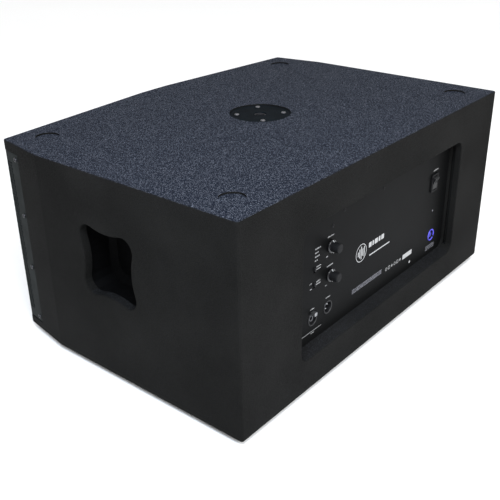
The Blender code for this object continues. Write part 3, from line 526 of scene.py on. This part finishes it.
def arc_between(before, corner, after, radius, steps):
    """The arc that rounds a bend of a path."""
    to_before = (before - corner).normalized()
    to_after = (after - corner).normalized()
    half = to_before.angle(to_after) / 2
    middle = corner + (to_before + to_after).normalized() * radius / math.sin(half)
    start = corner + to_before * radius / math.tan(half) - middle
    end = corner + to_after * radius / math.tan(half) - middle
    sweep = math.atan2(start.x * end.y - start.y * end.x, start.dot(end))
    first = math.atan2(start.y, start.x)
    angles = [first + sweep * i / steps for i in range(steps + 1)]
    return [middle + Vector((math.cos(a), math.sin(a))) * radius for a in angles]


def sheet_line():
    """The grille's face seen from above, from its right edge to its left edge."""
    corners = [BEND + CHEEK_ALONG * GRILLE_START, FRONT_CORNER, NOSE]
    corners = corners + [Vector((-p.x, p.y)) for p in reversed(corners)]
    radii = [0, 0.005, 0.030, 0.030, 0.005, 0]
    line = [corners[0]]
    for i in range(1, len(corners) - 1):
        line += arc_between(corners[i - 1], corners[i], corners[i + 1], radii[i], 8)
    line.append(corners[-1])
    return line


class BentSheet:
    """Maps a distance along the bent sheet to a place and an outward direction."""

    def __init__(self, line, below):
        self.line = line
        self.below = below
        self.reach = [0.0]
        for a, b in zip(line, line[1:]):
            self.reach.append(self.reach[-1] + (b - a).length)
        self.length = self.reach[-1]
        self.step = 0

    def at(self, distance):
        """The point on the sheet's face and the way out of it, at a distance along it."""
        while self.step < len(self.line) - 2 and self.reach[self.step + 1] < distance:
            self.step += 1
        while self.step > 0 and self.reach[self.step] > distance:
            self.step -= 1
        a, b = self.line[self.step], self.line[self.step + 1]
        share = (distance - self.reach[self.step]) / (self.reach[self.step + 1] - self.reach[self.step])
        direction = (b - a).normalized()
        outward = Vector((-direction.y, direction.x))
        return a.lerp(b, share) - outward * self.below, outward


def make_grille():
    """The punched sheet, in a right and a left half that meet at the nose."""
    sheet = BentSheet(sheet_line(), GRILLE_STEP)
    half_pitch = HOLE_PITCH / 2
    punched = sheet.length - 2 * PLAIN_EDGE
    columns = 2 * int(punched / 2 / HOLE_PITCH)
    start = sheet.length / 2 - columns * half_pitch
    row_height = HOLE_PITCH * math.sqrt(3) / 2
    rows = int((GRILLE_HIGH.z - GRILLE_LOW.z - 2 * PUNCHED_MARGIN) / row_height)
    low = (GRILLE_LOW.z + GRILLE_HIGH.z - rows * row_height) / 2
    across = [0.0, PLAIN_EDGE * 0.5] + [start + i * half_pitch for i in range(2 * columns + 1)]
    across += [sheet.length - PLAIN_EDGE * 0.5, sheet.length]
    heights = [GRILLE_LOW.z] + [low + j * row_height for j in range(rows + 1)] + [GRILLE_HIGH.z]
    middle = 2 + columns
    for side, first, last in (("right", 0, middle), ("left", middle, len(across) - 1)):
        piece = punched_half(f"grille_{side}", sheet, across[first:last + 1], heights, start)
        if side == "right":
            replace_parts(piece, "grille")


def make_foam_lining():
    """Thin foam just behind the punched sheet, round both of its corners."""
    reach = PLAIN_EDGE - 0.002
    face = BentSheet(sheet_line(), FOAM_FACE)
    back = BentSheet(sheet_line(), FOAM_BACK)
    distances = [reach + (face.length - 2 * reach) * i / FOAM_STEPS for i in range(FOAM_STEPS + 1)]
    pairs = [(face.at(distance)[0], back.at(distance)[0]) for distance in distances]
    shape = lofted(upright_sections(pairs, GRILLE_LOW.z + FOAM_EDGE, GRILLE_HIGH.z - FOAM_EDGE))
    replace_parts(finish_mesh("foam_lining", shape, "foam"), "grille_foam")


def punched_half(name, sheet, across, heights, start):
    """Half of the grille: a grid of points on the bent sheet, with holes in a staggered pattern."""
    verts, faces = [], []

    def point(u, z, layer):
        place, outward = sheet.at(u)
        flat = place - outward * (SHEET * layer)
        verts.append((flat.x, flat.y, z))
        return len(verts) - 1

    grid = [[[point(u, z, layer) for u in across] for z in heights] for layer in (0, 1)]
    columns, rows = len(across) - 1, len(heights) - 1
    first = 2 if abs(across[2] - start) < 1e-9 else 0
    last = columns if first else columns - 2
    drawn = set()
    for j in range(1, rows - 1):
        for i in range(first + (j % 2), last - 1, 2):
            punch(grid, faces, point, across, heights, i, j)
            drawn.update(((i, j), (i + 1, j)))
    for j in range(rows):
        for i in range(columns):
            if (i, j) in drawn:
                continue
            for layer in (0, 1):
                g = grid[layer]
                quad = (g[j][i], g[j][i + 1], g[j + 1][i + 1], g[j + 1][i])
                faces.append(quad if layer == 0 else quad[::-1])
    front, back = grid
    for i in range(columns):
        faces.append((front[0][i + 1], front[0][i], back[0][i], back[0][i + 1]))
        faces.append((front[rows][i], front[rows][i + 1], back[rows][i + 1], back[rows][i]))
    for j in range(rows):
        for i, flip in ((0, False), (columns, True)):
            wall = (front[j][i], front[j + 1][i], back[j + 1][i], back[j][i])
            faces.append(wall[::-1] if flip else wall)
    mesh = bpy.data.meshes.new(name)
    mesh.from_pydata(verts, [], faces)
    mesh.flip_normals()
    mesh.materials.append(MATERIALS["grille"])
    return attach(new_object(name, mesh), "cabinet")


def punch(grid, faces, point, across, heights, i, j):
    """One hole in a cell two columns wide: its rims in both layers, and its wall."""
    middle_u = across[i + 1]
    middle_z = (heights[j] + heights[j + 1]) / 2
    ring = circle(HOLE_RADIUS, HOLE_SIDES)
    rims = []
    for layer in (0, 1):
        g = grid[layer]
        corners = [(j, i), (j, i + 1), (j, i + 2), (j + 1, i + 2), (j + 1, i + 1), (j + 1, i)]
        turned = []
        for row, column in corners:
            angle = math.atan2(heights[row] - middle_z, across[column] - middle_u) % (2 * math.pi)
            turned.append((angle, g[row][column]))
        turned.sort()
        angles = [angle for angle, _ in turned]
        border = [index for _, index in turned]
        rim = [point(middle_u + a, middle_z + b, layer) for a, b in ring]
        rims.append(rim)
        stitch(faces, rim, border, angles, layer == 1)
    for k in range(HOLE_SIDES):
        m = (k + 1) % HOLE_SIDES
        faces.append((rims[0][k], rims[0][m], rims[1][m], rims[1][k]))


def stitch(faces, rim, border, angles, flip):
    """Triangles between a hole's rim and its cell's border, both in order of their angles."""
    count, corners = len(rim), len(border)
    k = m = 0
    while k < count or m < corners:
        next_rim = 2 * math.pi * (k + 1) / count
        next_border = angles[m + 1] if m + 1 < corners else angles[0] + 2 * math.pi
        halfway = (next_rim + 2 * math.pi * k / count) / 2
        before_corner = m >= corners or halfway <= angles[m] + 1e-9
        if k < count and (before_corner or next_rim <= next_border):
            faces.append(oriented((rim[k % count], border[m % corners], rim[(k + 1) % count]), flip))
            k += 1
        else:
            faces.append(oriented((rim[k % count], border[m % corners], border[(m + 1) % corners]), flip))
            m += 1


def oriented(face, flip):
    """A face, or the same face turned over."""
    return face[::-1] if flip else face


# -------------------------------- shaping helpers for small pieces
def merge(target, part):
    """Move one shape's geometry into another."""
    mesh = new_mesh("part", part)
    target.from_mesh(mesh)
    bpy.data.meshes.remove(mesh)


def ring_loft(shape, sections):
    """Join closed rings that match point to point, the last to the first again."""
    rings = add_loft(shape, sections, caps=False)
    for i in range(len(rings[0])):
        j = (i + 1) % len(rings[0])
        shape.faces.new((rings[-1][i], rings[-1][j], rings[0][j], rings[0][i]))


def polygon_ring(across_flats, sides, count):
    """Points round a regular polygon, as many as a circle that it is joined to."""
    points = []
    for i in range(count):
        angle = 2 * math.pi * i / count
        part = (angle + math.pi / sides) % (2 * math.pi / sides) - math.pi / sides
        reach = across_flats / 2 / math.cos(part)
        points.append((reach * math.cos(angle), reach * math.sin(angle)))
    return points


def carve(piece, tools):
    """Cut tools out of a piece, and remove the tools."""
    for tool in tools:
        modifier = piece.modifiers.new("cut", "BOOLEAN")
        modifier.operation = "DIFFERENCE"
        modifier.object = tool
    bpy.context.view_layer.update()
    cut_mesh = bpy.data.meshes.new_from_object(piece.evaluated_get(bpy.context.evaluated_depsgraph_get()))
    piece.modifiers.clear()
    piece.data = cut_mesh
    for tool in tools:
        bpy.data.objects.remove(tool, do_unlink=True)


def tool_object(shape):
    """A cutting tool from a shape."""
    bmesh.ops.recalc_face_normals(shape, faces=shape.faces)
    return new_object("tool", new_mesh("tool", shape))


def refined_copy(node, name, material, body, width, segments):
    """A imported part's shape with its edges rounded, which stands for that part."""
    shape = bmesh.new()
    shape.from_mesh(NODES[node].data)
    bmesh.ops.dissolve_limit(shape, angle_limit=math.radians(1), verts=shape.verts, edges=shape.edges)
    edges = [e for e in shape.edges if e.is_manifold and e.calc_face_angle(0) > math.radians(25)]
    bmesh.ops.bevel(shape, geom=edges, offset=width, segments=segments, profile=0.5, affect="EDGES",
                    clamp_overlap=True)
    piece = finish_mesh(name, shape, material, body, 40.0)
    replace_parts(piece, node)


# -------------------------------- paint over the boards' joints
PAINT_SUNK = 0.00002            # the paint strips lie this far under the boards' faces
PAINT_DEEP = 0.0030             # and reach this far in
BOARD_GAP = 0.0003
REAR_CORNER_RADIUS = 0.004
BEND_RADIUS = 0.020
PAINTED_CHEEK = 0.0625          # from the bend to just short of the grille's rear edge


def paint_over_joints():
    """Paint fills the hairline joints between the boards, so that none of them shows."""
    start = Vector((0.0, REAR_Y))
    corner = Vector((HALF_WIDTH, REAR_Y))
    end = BEND + CHEEK_ALONG * PAINTED_CHEEK
    right = [start]
    right += arc_between(start, corner, BEND, REAR_CORNER_RADIUS, 6)
    right += arc_between(corner, BEND, end, BEND_RADIUS, 6)
    right.append(end)
    line = [Vector((-p.x, p.y)) for p in reversed(right[1:])] + right
    shape = bmesh.new()
    for low, high in ((BOTTOM_HIGH_Z, SIDE_LOW.z), (SIDE_HIGH.z, TOP_LOW.z)):
        strip(shape, line, low, high)
    finish_mesh("joint_paint_rings", shape, "paint")
    for side, sign in (("right", 1), ("left", -1)):
        inner, outer = REAR_HIGH.x, REAR_HIGH.x + BOARD_GAP
        corners = [(sign * inner, REAR_Y - PAINT_DEEP), (sign * outer, REAR_Y - PAINT_DEEP),
                   (sign * outer, REAR_Y - PAINT_SUNK), (sign * inner, REAR_Y - PAINT_SUNK)]
        seam = block(corners, REAR_LOW.z, REAR_HIGH.z)
        finish_mesh(f"joint_paint_{side}", seam, "paint")


def strip(shape, line, low, high):
    """A thin closed band just under a line of the boards' faces."""
    outer, inner = [], []
    for i, point in enumerate(line):
        before, after = line[max(i - 1, 0)], line[min(i + 1, len(line) - 1)]
        along = (after - before).normalized()
        outward = Vector((-along.y, along.x))
        if outward.dot(point) < 0:
            outward = -outward
        outer.append(point - outward * PAINT_SUNK)
        inner.append(point - outward * PAINT_DEEP)
    add_loft(shape, upright_sections(zip(outer, inner), low, high))


def upright_sections(pairs, low, high):
    """Rectangles that stand between a face line and a back line, from low to high."""
    return [[(a.x, a.y, low), (a.x, a.y, high), (b.x, b.y, high), (b.x, b.y, low)] for a, b in pairs]


# -------------------------------- screws
GRILLE_SCREW_SEAT = 0.0040      # from the middle of the screw's box out to the sheet
FLANGE_SCREW_SUNK = 0.0020      # the flange screws' seats lie this far under the top


def screw_head(radius, height, socket, place, outward):
    """A domed screw head with a hexagon socket."""
    count = 24
    dome = ((radius, 0.0), (radius, 0.35), (radius * 0.93, 0.70), (radius * 0.72, 0.95),
            (socket * 0.72, 1.0))
    rings = [placed(circle(reach, count), height * share) for reach, share in dome]
    for across, share in ((socket, 0.93), (socket * 0.96, 0.25)):
        rings.append(placed(polygon_ring(across, 6, count), height * share))
    return lofted(rings, place, outward)


def make_screws():
    """Detailed heads for the grille's black screws and the flange's bright ones."""
    for side, sign in (("right", 1), ("left", -1)):
        outward = Vector((-CHEEK_ALONG.y * sign, CHEEK_ALONG.x, 0))
        for i in range(4):
            node = f"grille_screw_{side}_{i + 1}"
            seat = centre(node) + outward * GRILLE_SCREW_SEAT
            head = screw_head(0.0040, 0.0021, 0.0030, seat, outward)
            bolt = finish_mesh(f"grille_bolt_{side}_{i + 1}", head, "black_screw")
            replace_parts(bolt, node)
    for i in range(4):
        node = f"pole_screw_{i + 1}"
        middle = centre(node)
        seat = Vector((middle.x, middle.y, TOP_Z - FLANGE_SCREW_SUNK))
        head = screw_head(0.0042, 0.0017, 0.0030, seat, (0, 0, 1))
        bolt = finish_mesh(f"flange_bolt_{i + 1}", head, "dull_screw")
        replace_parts(bolt, node)


# -------------------------------- printing on the panel
INK_THICK = 0.00008
STROKES = random.Random(7)      # draws the captions' strokes, in the order that they are printed


class Printing:
    """Flat shapes of ink on the amplifier panel; distances are across, and above the underside."""

    def __init__(self, name, material):
        self.name = name
        self.material = material
        self.shape = bmesh.new()

    def patch(self, outline):
        """One closed patch of ink."""
        sections = [[on_panel(x, z, proud) for x, z in outline] for proud in (0.0, INK_THICK)]
        add_loft(self.shape, sections)

    def bar(self, middle, half_across, half_up, radius=None):
        """A bar with round corners."""
        corner = min(half_across, half_up) * 0.5 if radius is None else radius
        points = rounded_rectangle(half_across, half_up, corner, 2)
        self.patch([(middle[0] + a, middle[1] + b) for a, b in points])

    def ring(self, middle, radius, half, count=40):
        """A circle drawn with a stroke."""
        profile = [(radius - half, 0), (radius + half, 0), (radius + half, INK_THICK),
                   (radius - half, INK_THICK)]
        merge(self.shape, turned(profile, count, on_panel(*middle)))

    def frame(self, middle, half_across, half_up, radius, half):
        """A rounded rectangle drawn with a stroke."""
        sections = []
        for grow, proud in ((-half, 0.0), (half, 0.0), (half, INK_THICK), (-half, INK_THICK)):
            points = rounded_rectangle(half_across + grow, half_up + grow, radius + grow, 4)
            sections.append([on_panel(middle[0] + a, middle[1] + b, proud) for a, b in points])
        ring_loft(self.shape, sections)

    def caption(self, middle, width, height):
        """A row of short strokes in place of small lettering, which can't be read as any word."""
        position = middle[0] + width / 2
        end = middle[0] - width / 2
        while position > end + 0.0006:
            stroke = min(STROKES.uniform(0.35, 0.75) * height, position - end)
            tall = height * STROKES.choice((0.72, 1.0, 1.0))
            self.bar((position - stroke / 2, middle[1] + (tall - height) / 2), stroke / 2 * 0.82, tall / 2)
            position -= stroke * (1.12 if STROKES.random() < 0.82 else 1.9)

    def finish(self):
        finish_mesh(self.name, self.shape, self.material, smooth_angle=0)


def print_panel():
    """White and grey printing: captions, a neutral sign, rules and plain symbols."""
    white = Printing("panel_print_white", "ink")
    thin = Printing("panel_print_thin", "thin_ink")
    grey = Printing("panel_print_grey", "grey_ink")
    for knob in ("level_knob", "crossover_knob"):
        x, z = panel_place(knob)
        thin.caption((x + 0.001, z + 0.0178), 0.0170, 0.0022)
        for across in (0.0100, -0.0090, -0.0295):
            thin.caption((x + across, z - 0.0150), 0.0050, 0.0020)
    print_status_list(thin)
    print_switch_captions(thin)
    print_socket_captions(thin, grey)
    print_sign(white)
    print_information(white, thin, grey)
    for ink in (white, thin, grey):
        ink.finish()


def print_status_list(ink):
    """Four short captions in a column, in line at the end nearest to the cabinet's right."""
    for i, width in enumerate((0.0155, 0.0100, 0.0130, 0.0080)):
        ink.caption((0.1800 - width / 2 + 0.0005, 0.2245 - 0.0066 * i), width, 0.0022)


def print_switch_captions(ink):
    for node in ("polarity_switch", "ground_switch"):
        x, z = panel_place(node)
        for row in (-0.0022, 0.0022):
            ink.caption((x - 0.0115, z + row), 0.0120, 0.0022)
    x, z = panel_place("ground_switch")
    ink.caption((x + 0.0090, z + 0.0048), 0.0070, 0.0020)
    ink.caption((x + 0.0085, z - 0.0050), 0.0040, 0.0020)


def print_socket_captions(white, grey):
    for node in ("signal_input", "signal_output"):
        x, z = panel_place(node)
        white.caption((x, z + 0.0187), 0.0125, 0.0022)
    white.bar((0.1846, 0.0812), 0.0264, 0.0004)
    white.caption((0.1830, 0.0778), 0.0080, 0.0022)
    x, z = panel_place("rocker_bezel")
    white.caption((x - 0.0050, z + 0.0235), 0.0190, 0.0026)
    white.caption((x - 0.0155, z - 0.0120), 0.0040, 0.0026)
    grey.bar((-0.2075, 0.1547), 0.0018, 0.0016)
    x, z = panel_place("mains_inlet")
    for row in range(3):
        grey.caption((x, z - 0.0215 - 0.0034 * row), 0.0330, 0.0020)


def print_sign(ink):
    """A neutral sign: a level meter in a ring, with a row of blocks and a rule beside it."""
    middle = (0.0452, 0.1652)
    ink.ring(middle, 0.0158, 0.0006)
    for i, tall in enumerate((0.0045, 0.0085, 0.0120, 0.0070, 0.0100)):
        ink.bar((middle[0] + 0.0092 - 0.0046 * i, middle[1]), 0.0012, tall, 0.0010)
    start = 0.0215
    for width in (0.0085, 0.0044, 0.0100, 0.0058, 0.0090):
        ink.bar((start - width / 2, 0.1702), width / 2, 0.0046, 0.0012)
        start -= width + 0.0028
    ink.bar((-0.0150, 0.1502), 0.0335, 0.0011)


def print_information(white, thin, grey):
    """The lower lines: a band of fine grey rows, plain symbols, and a plain label and dot."""
    for row in range(3):
        grey.caption((0.0206, 0.1032 - 0.0030 * row), 0.0960, 0.0021)
    for i in range(6):
        place = (-0.0440 - 0.0098 * i, 0.0970)
        if i % 3 == 0:
            thin.ring(place, 0.0028, 0.0006, 20)
        elif i % 3 == 1:
            thin.frame(place, 0.0028, 0.0028, 0.0008, 0.0006)
        else:
            thin.patch([(place[0] - 0.0030, place[1]), (place[0], place[1] - 0.0034),
                        (place[0] + 0.0030, place[1]), (place[0], place[1] + 0.0034)])
    white.bar((-0.1188, 0.0970), 0.0168, 0.0046, 0.0008)
    white.patch([(-0.1305 + a, 0.0770 + b) for a, b in circle(0.0026, 20)])


# -------------------------------- knobs, switches and sockets
def make_knob(node):
    """A glossy skirt, a matt fluted grip with a rounded crown, and a white pointer line."""
    seat = seat_of(node)
    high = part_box(node)[1].y - PANEL_Y
    skirt = [(0.0104, 0.0008, 0), (0.0110, 0.0013, 0), (0.0110, 0.0030, 0), (0.0105, 0.0037, 0),
             (0.0088, 0.0044, 0)]
    grip = [(0.0084, 0.0043, 0), (0.0083, 0.0056, 0), (0.0083, 0.0062, 1), (0.0080, high - 0.0024, 1),
            (0.0076, high - 0.0010, 0.5), (0.0068, high - 0.0003, 0), (0.0056, high - 0.0001, 0)]
    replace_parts(fluted(f"{node}_skirt", skirt, seat, "gloss", node), node)
    fluted(f"{node}_grip", grip, seat, "matt", node)
    profile = [(0.0078, 0.0034), (0.0106, 0.0034), (0.0107, 0.0037), (0.0090, 0.0047),
               (0.0086, 0.0066), (0.0078, 0.0066)]
    line = lofted([[(across, reach, lift) for reach, lift in profile] for across in (-0.0008, 0.0008)], seat)
    finish_mesh(f"{node}_pointer", line, "ink", node, 0)


def fluted(name, levels, seat, material, body):
    """A turned shape with flutes, as deep as each level says."""
    count, flutes = 96, 24
    sections = []
    for radius, height, flute in levels:
        ring = []
        for i in range(count):
            angle = 2 * math.pi * i / count
            reach = radius * (1 + 0.022 * flute * math.cos(flutes * angle))
            ring.append((reach * math.cos(angle), reach * math.sin(angle), height))
        sections.append(ring)
    return finish_mesh(name, lofted(sections, seat), material, body, 30.0)


def make_slide_switch(node):
    """A slider with grip ridges, and the dark body of the switch behind the panel's slot."""
    low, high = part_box(node)
    half_a, half_b = (high.x - low.x) / 2, (high.z - low.z) / 2
    rise = high.y - PANEL_Y
    levels = ((-0.006, 0), (rise - 0.0010, 0), (rise - 0.0006, 0.0001), (rise - 0.0005, 0.0004))
    shape = lofted([placed(rounded_rectangle(half_a - g, half_b - g, 0.0005, 3), h) for h, g in levels])
    for i in range(4):
        up = -0.0021 + 0.0014 * i
        outline = [(a, b + up) for a, b in rounded_rectangle(half_a - 0.0004, 0.0004, 0.0003, 2)]
        merge(shape, block(outline, rise - 0.0006, rise))
    settle(shape, seat_of(node))
    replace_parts(finish_mesh(f"{node}_slider", shape, "plastic", node, 30.0), node)
    middle = centre(node)
    seat = Vector((middle.x, PLATE_LOW.y - 0.0002, middle.z - 0.0015))
    housing = block(rounded_rectangle(0.0042, 0.0080, 0.0006, 3), -0.0070, 0.0, seat)
    body = finish_mesh(f"{node}_housing", housing, "plastic")
    carve(body, [tool_object(block(rounded_rectangle(0.0021, 0.0048, 0.0004, 3), -0.0062, 0.002, seat))])


def make_rocker():
    """The mains rocker's bezel and key, with their edges rounded."""
    refined_copy("rocker_bezel", "rocker_frame", "matt", "cabinet", 0.0005, 2)
    refined_copy("rocker_key", "rocker_button", "plastic", "rocker_key", 0.0005, 2)


def socket_shell(bore, bore_depth, seat):
    """The round body of a panel socket, from its back to a chamfered rim, with a bore."""
    back = 0.022
    profile = [(0, -back), (0.0116, -back), (0.0118, -back + 0.0004), (0.0118, 0.0004), (0.0114, 0.0010),
               (bore + 0.0005, 0.0010), (bore, 0.0004), (bore, -bore_depth), (0, -bore_depth)]
    return turned(profile, 64, seat)


def rear_flange(name, seat):
    """The square flange that holds a socket from behind the panel, round the socket's body."""
    hole = circle(0.0118, 40, math.pi / 4)
    rim = rounded_rectangle(0.0130, 0.0155, 0.0030, 9)
    front = PLATE_LOW.y - PANEL_Y - 0.0005
    back = PLATE_LOW.y - PANEL_Y - 0.0025
    shape = bmesh.new()
    ring_loft(shape, [placed(hole, front), placed(rim, front), placed(rim, back), placed(hole, back)])
    settle(shape, seat)
    finish_mesh(name, shape, "plastic")


def round_tool(radius, place, low, high, count=24):
    """A round cutting tool in a socket, from low to high along its axis."""
    return tool_object(turned([(0, low), (radius, low), (radius, high), (0, high)], count, place))


def three_round(seat, radius):
    """Three places round a socket's axis, at even angles."""
    angles = [-math.pi / 2 + i * 2 * math.pi / 3 for i in range(3)]
    return [seat + Vector((-radius * math.cos(a), 0, radius * math.sin(a))) for a in angles]


def smooth_again(piece):
    """Shade a carved piece smooth, with its edges kept sharp."""
    piece.data.shade_smooth()
    piece.data.set_sharp_from_angle(angle=math.radians(35.0))


def make_signal_input():
    """A combined signal socket: an insert with a jack hole and three contact holes, and a push tab."""
    seat = seat_of("signal_input")
    socket = finish_mesh("input_socket", socket_shell(0.0096, 0.0035, seat), "plastic")
    tools = [round_tool(0.0034, seat, -0.018, 0.002)]
    tools += [round_tool(0.0013, place, -0.014, 0.002, 16) for place in three_round(seat, 0.0066)]
    carve(socket, tools)
    smooth_again(socket)
    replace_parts(socket, "signal_input")
    lip = [(0.0034, -0.0036), (0.0050, -0.0036), (0.0050, -0.0024), (0.0046, -0.0020), (0.0034, -0.0024)]
    finish_mesh("input_jack_collar", turned(lip, 40, seat), "dull_screw")
    refined_copy("input_latch", "input_push_tab", "pewter", "input_latch", 0.0007, 3)


def make_signal_output():
    """A signal output: a deep bore with three pins."""
    seat = seat_of("signal_output")
    rear_flange("output_flange", seat)
    socket = finish_mesh("output_socket", socket_shell(0.0094, 0.0150, seat), "plastic")
    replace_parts(socket, "signal_output")
    tip = [(0, -0.0150), (0.0012, -0.0150), (0.0012, -0.0040), (0.0010, -0.0034), (0.0005, -0.0030),
           (0, -0.0030)]
    for i, place in enumerate(three_round(seat, 0.0045)):
        finish_mesh(f"output_pin_{i + 1}", turned(tip, 20, place), "aluminium")


def paint_bore_shade(socket):
    """The deep inside of a coloured socket is painted black, as painted shade in its bore."""
    socket.data.materials.append(MATERIALS["plastic"])
    for face in socket.data.polygons:
        # Faces more than 1.5 mm into the bore get the black plastic: painted shade.
        if PANEL_Y - face.center.y > 0.0015:
            face.material_index = len(socket.data.materials) - 1


def make_mains_inlet():
    """The locking mains inlet: a blue ring with keyways, round a core with three contact slots."""
    seat = seat_of("mains_inlet")
    rear_flange("inlet_flange", seat)
    ring = finish_mesh("inlet_ring", socket_shell(0.0088, 0.0150, seat), "blue")
    tools = []
    for angle, half in ((100, 0.0022), (220, 0.0030), (325, 0.0018)):
        outline = [(0.0070, -half), (0.0104, -half), (0.0104, half), (0.0070, half)]
        cosine, sine = math.cos(math.radians(angle)), math.sin(math.radians(angle))
        keyway = [(a * cosine - b * sine, a * sine + b * cosine) for a, b in outline]
        tools.append(tool_object(block(keyway, -0.0130, 0.0030, seat)))
    carve(ring, tools)
    smooth_again(ring)
    paint_bore_shade(ring)
    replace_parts(ring, "mains_inlet")
    profile = [(0, -0.0148), (0.0050, -0.0148), (0.0050, -0.0016), (0.0045, -0.0010), (0, -0.0010)]
    core = finish_mesh("inlet_core", turned(profile, 48, seat, turn=0.03), "deep_blue")
    slots = []
    for across, up, wide, tall in ((0.0, 0.0026, 0.0016, 0.0006), (-0.0022, -0.0014, 0.0006, 0.0014),
                                   (0.0022, -0.0014, 0.0006, 0.0014)):
        outline = [(a + across, b + up) for a, b in rounded_rectangle(wide, tall, 0.0002, 2)]
        slots.append(tool_object(block(outline, -0.010, 0.002, seat)))
    carve(core, slots)
    smooth_again(core)


def make_panel_screws():
    """Countersunk black screws that hold what the panel carries."""
    for i, (across, above) in enumerate(((0.1340, 0.2478), (0.1018, 0.2635), (-0.0165, 0.2611))):
        head = screw_head(0.0031, 0.0007, 0.0023, on_panel(across, above), (0, 1, 0))
        finish_mesh(f"panel_screw_{i + 1}", head, "matt")


# -------------------------------- pole socket and feet
def make_pole_thread():
    """The ridges of the coarse thread inside the pole socket."""
    turns, pitch, count = 11, 0.0025, 40
    profile = ((0.0100, -0.00110), (0.0091, -0.00020), (0.0091, 0.00020), (0.0100, 0.00110))
    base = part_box("pole_flange")[0].z + 0.0030
    sections = []
    for i in range(turns * count + 1):
        angle = 2 * math.pi * i / count
        lift = base + pitch * i / count
        sections.append([(r * math.cos(angle), r * math.sin(angle), lift + h) for r, h in profile])
    finish_mesh("pole_thread", lofted(sections), "black_screw")


def make_foot_washers():
    """The steel washer and screw sunk in each rubber foot."""
    for end in ("rear", "front"):
        for side in ("right", "left"):
            low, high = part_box(f"foot_{end}_{side}")
            place = Vector(((low.x + high.x) / 2, (low.y + high.y) / 2, low.z + 0.0055))
            profile = [(0, 0), (0.0058, 0), (0.0058, 0.0009), (0.0054, 0.0012), (0, 0.0012)]
            washer = turned(profile, 32, place, (0, 0, -1))
            finish_mesh(f"foot_washer_{end}_{side}", washer, "bright")
            head = screw_head(0.0036, 0.0018, 0.0026, place + Vector((0, 0, -0.0012)), (0, 0, -1))
            finish_mesh(f"foot_screw_{end}_{side}", head, "bright")


# -------------------------------- camera, floor and light
CAMERA_PLACE = (1.0464, 0.8437, 0.7587)
CAMERA_TURN = (63.426, 0.783, 129.425)      # degrees about X, Y and Z
CAMERA_LENS = 55.75


def make_camera():
    """The camera stands behind the cabinet, to its right, and looks down on it."""
    camera = bpy.data.cameras.new("camera")
    camera.lens = CAMERA_LENS
    camera.sensor_width = 36.0
    camera.clip_end = 50.0
    stand = new_object("camera", camera)
    stand.location = CAMERA_PLACE
    stand.rotation_euler = [math.radians(a) for a in CAMERA_TURN]
    bpy.context.scene.camera = stand


def area_light(name, place, target, size, power, colour=(1.0, 1.0, 1.0)):
    """A soft rectangular light that faces a target."""
    light = bpy.data.lights.new(name, "AREA")
    light.shape = "RECTANGLE"
    light.size, light.size_y = size
    light.energy = power
    light.color = colour
    stand = new_object(name, light)
    stand.location = place
    direction = Vector(target) - Vector(place)
    stand.rotation_euler = direction.to_track_quat("-Z", "Y").to_euler()


def make_studio():
    """A pale floor and an even white sky, a cool light over the near corner and a broad one behind it."""
    shape = bmesh.new()
    bmesh.ops.create_grid(shape, x_segments=8, y_segments=8, size=9.0)
    mesh = new_mesh("studio_floor", shape)
    mesh.materials.append(studio_floor())
    floor = new_object("studio_floor", mesh)
    floor.location.z = -0.0003          # so that the feet's soles don't flicker in it
    area_light("cool_overhead", (0.90, 0.65, 1.20), (0.15, 0.10, 0.35), (0.6, 0.6), 22.0, (0.80, 0.89, 1.0))
    area_light("soft_rear", (0.6, 2.6, 2.0), (0.0, 0.2, 0.2), (1.6, 1.2), 62.0)
    world = bpy.data.worlds.new("studio")
    world.use_nodes = True
    background = world.node_tree.nodes["Background"]
    background.inputs["Color"].default_value = (1.0, 1.0, 1.0, 1.0)
    background.inputs["Strength"].default_value = 1.0
    bpy.context.scene.world = world
    bpy.context.scene.view_settings.view_transform = "Standard"


dress_cad_nodes()
make_grille()
make_foam_lining()
paint_over_joints()
make_screws()
print_panel()
make_knob("level_knob")
make_knob("crossover_knob")
make_slide_switch("polarity_switch")
make_slide_switch("ground_switch")
make_rocker()
make_signal_input()
make_signal_output()
make_mains_inlet()
make_panel_screws()
make_pole_thread()
make_foot_washers()
make_camera()
make_studio()
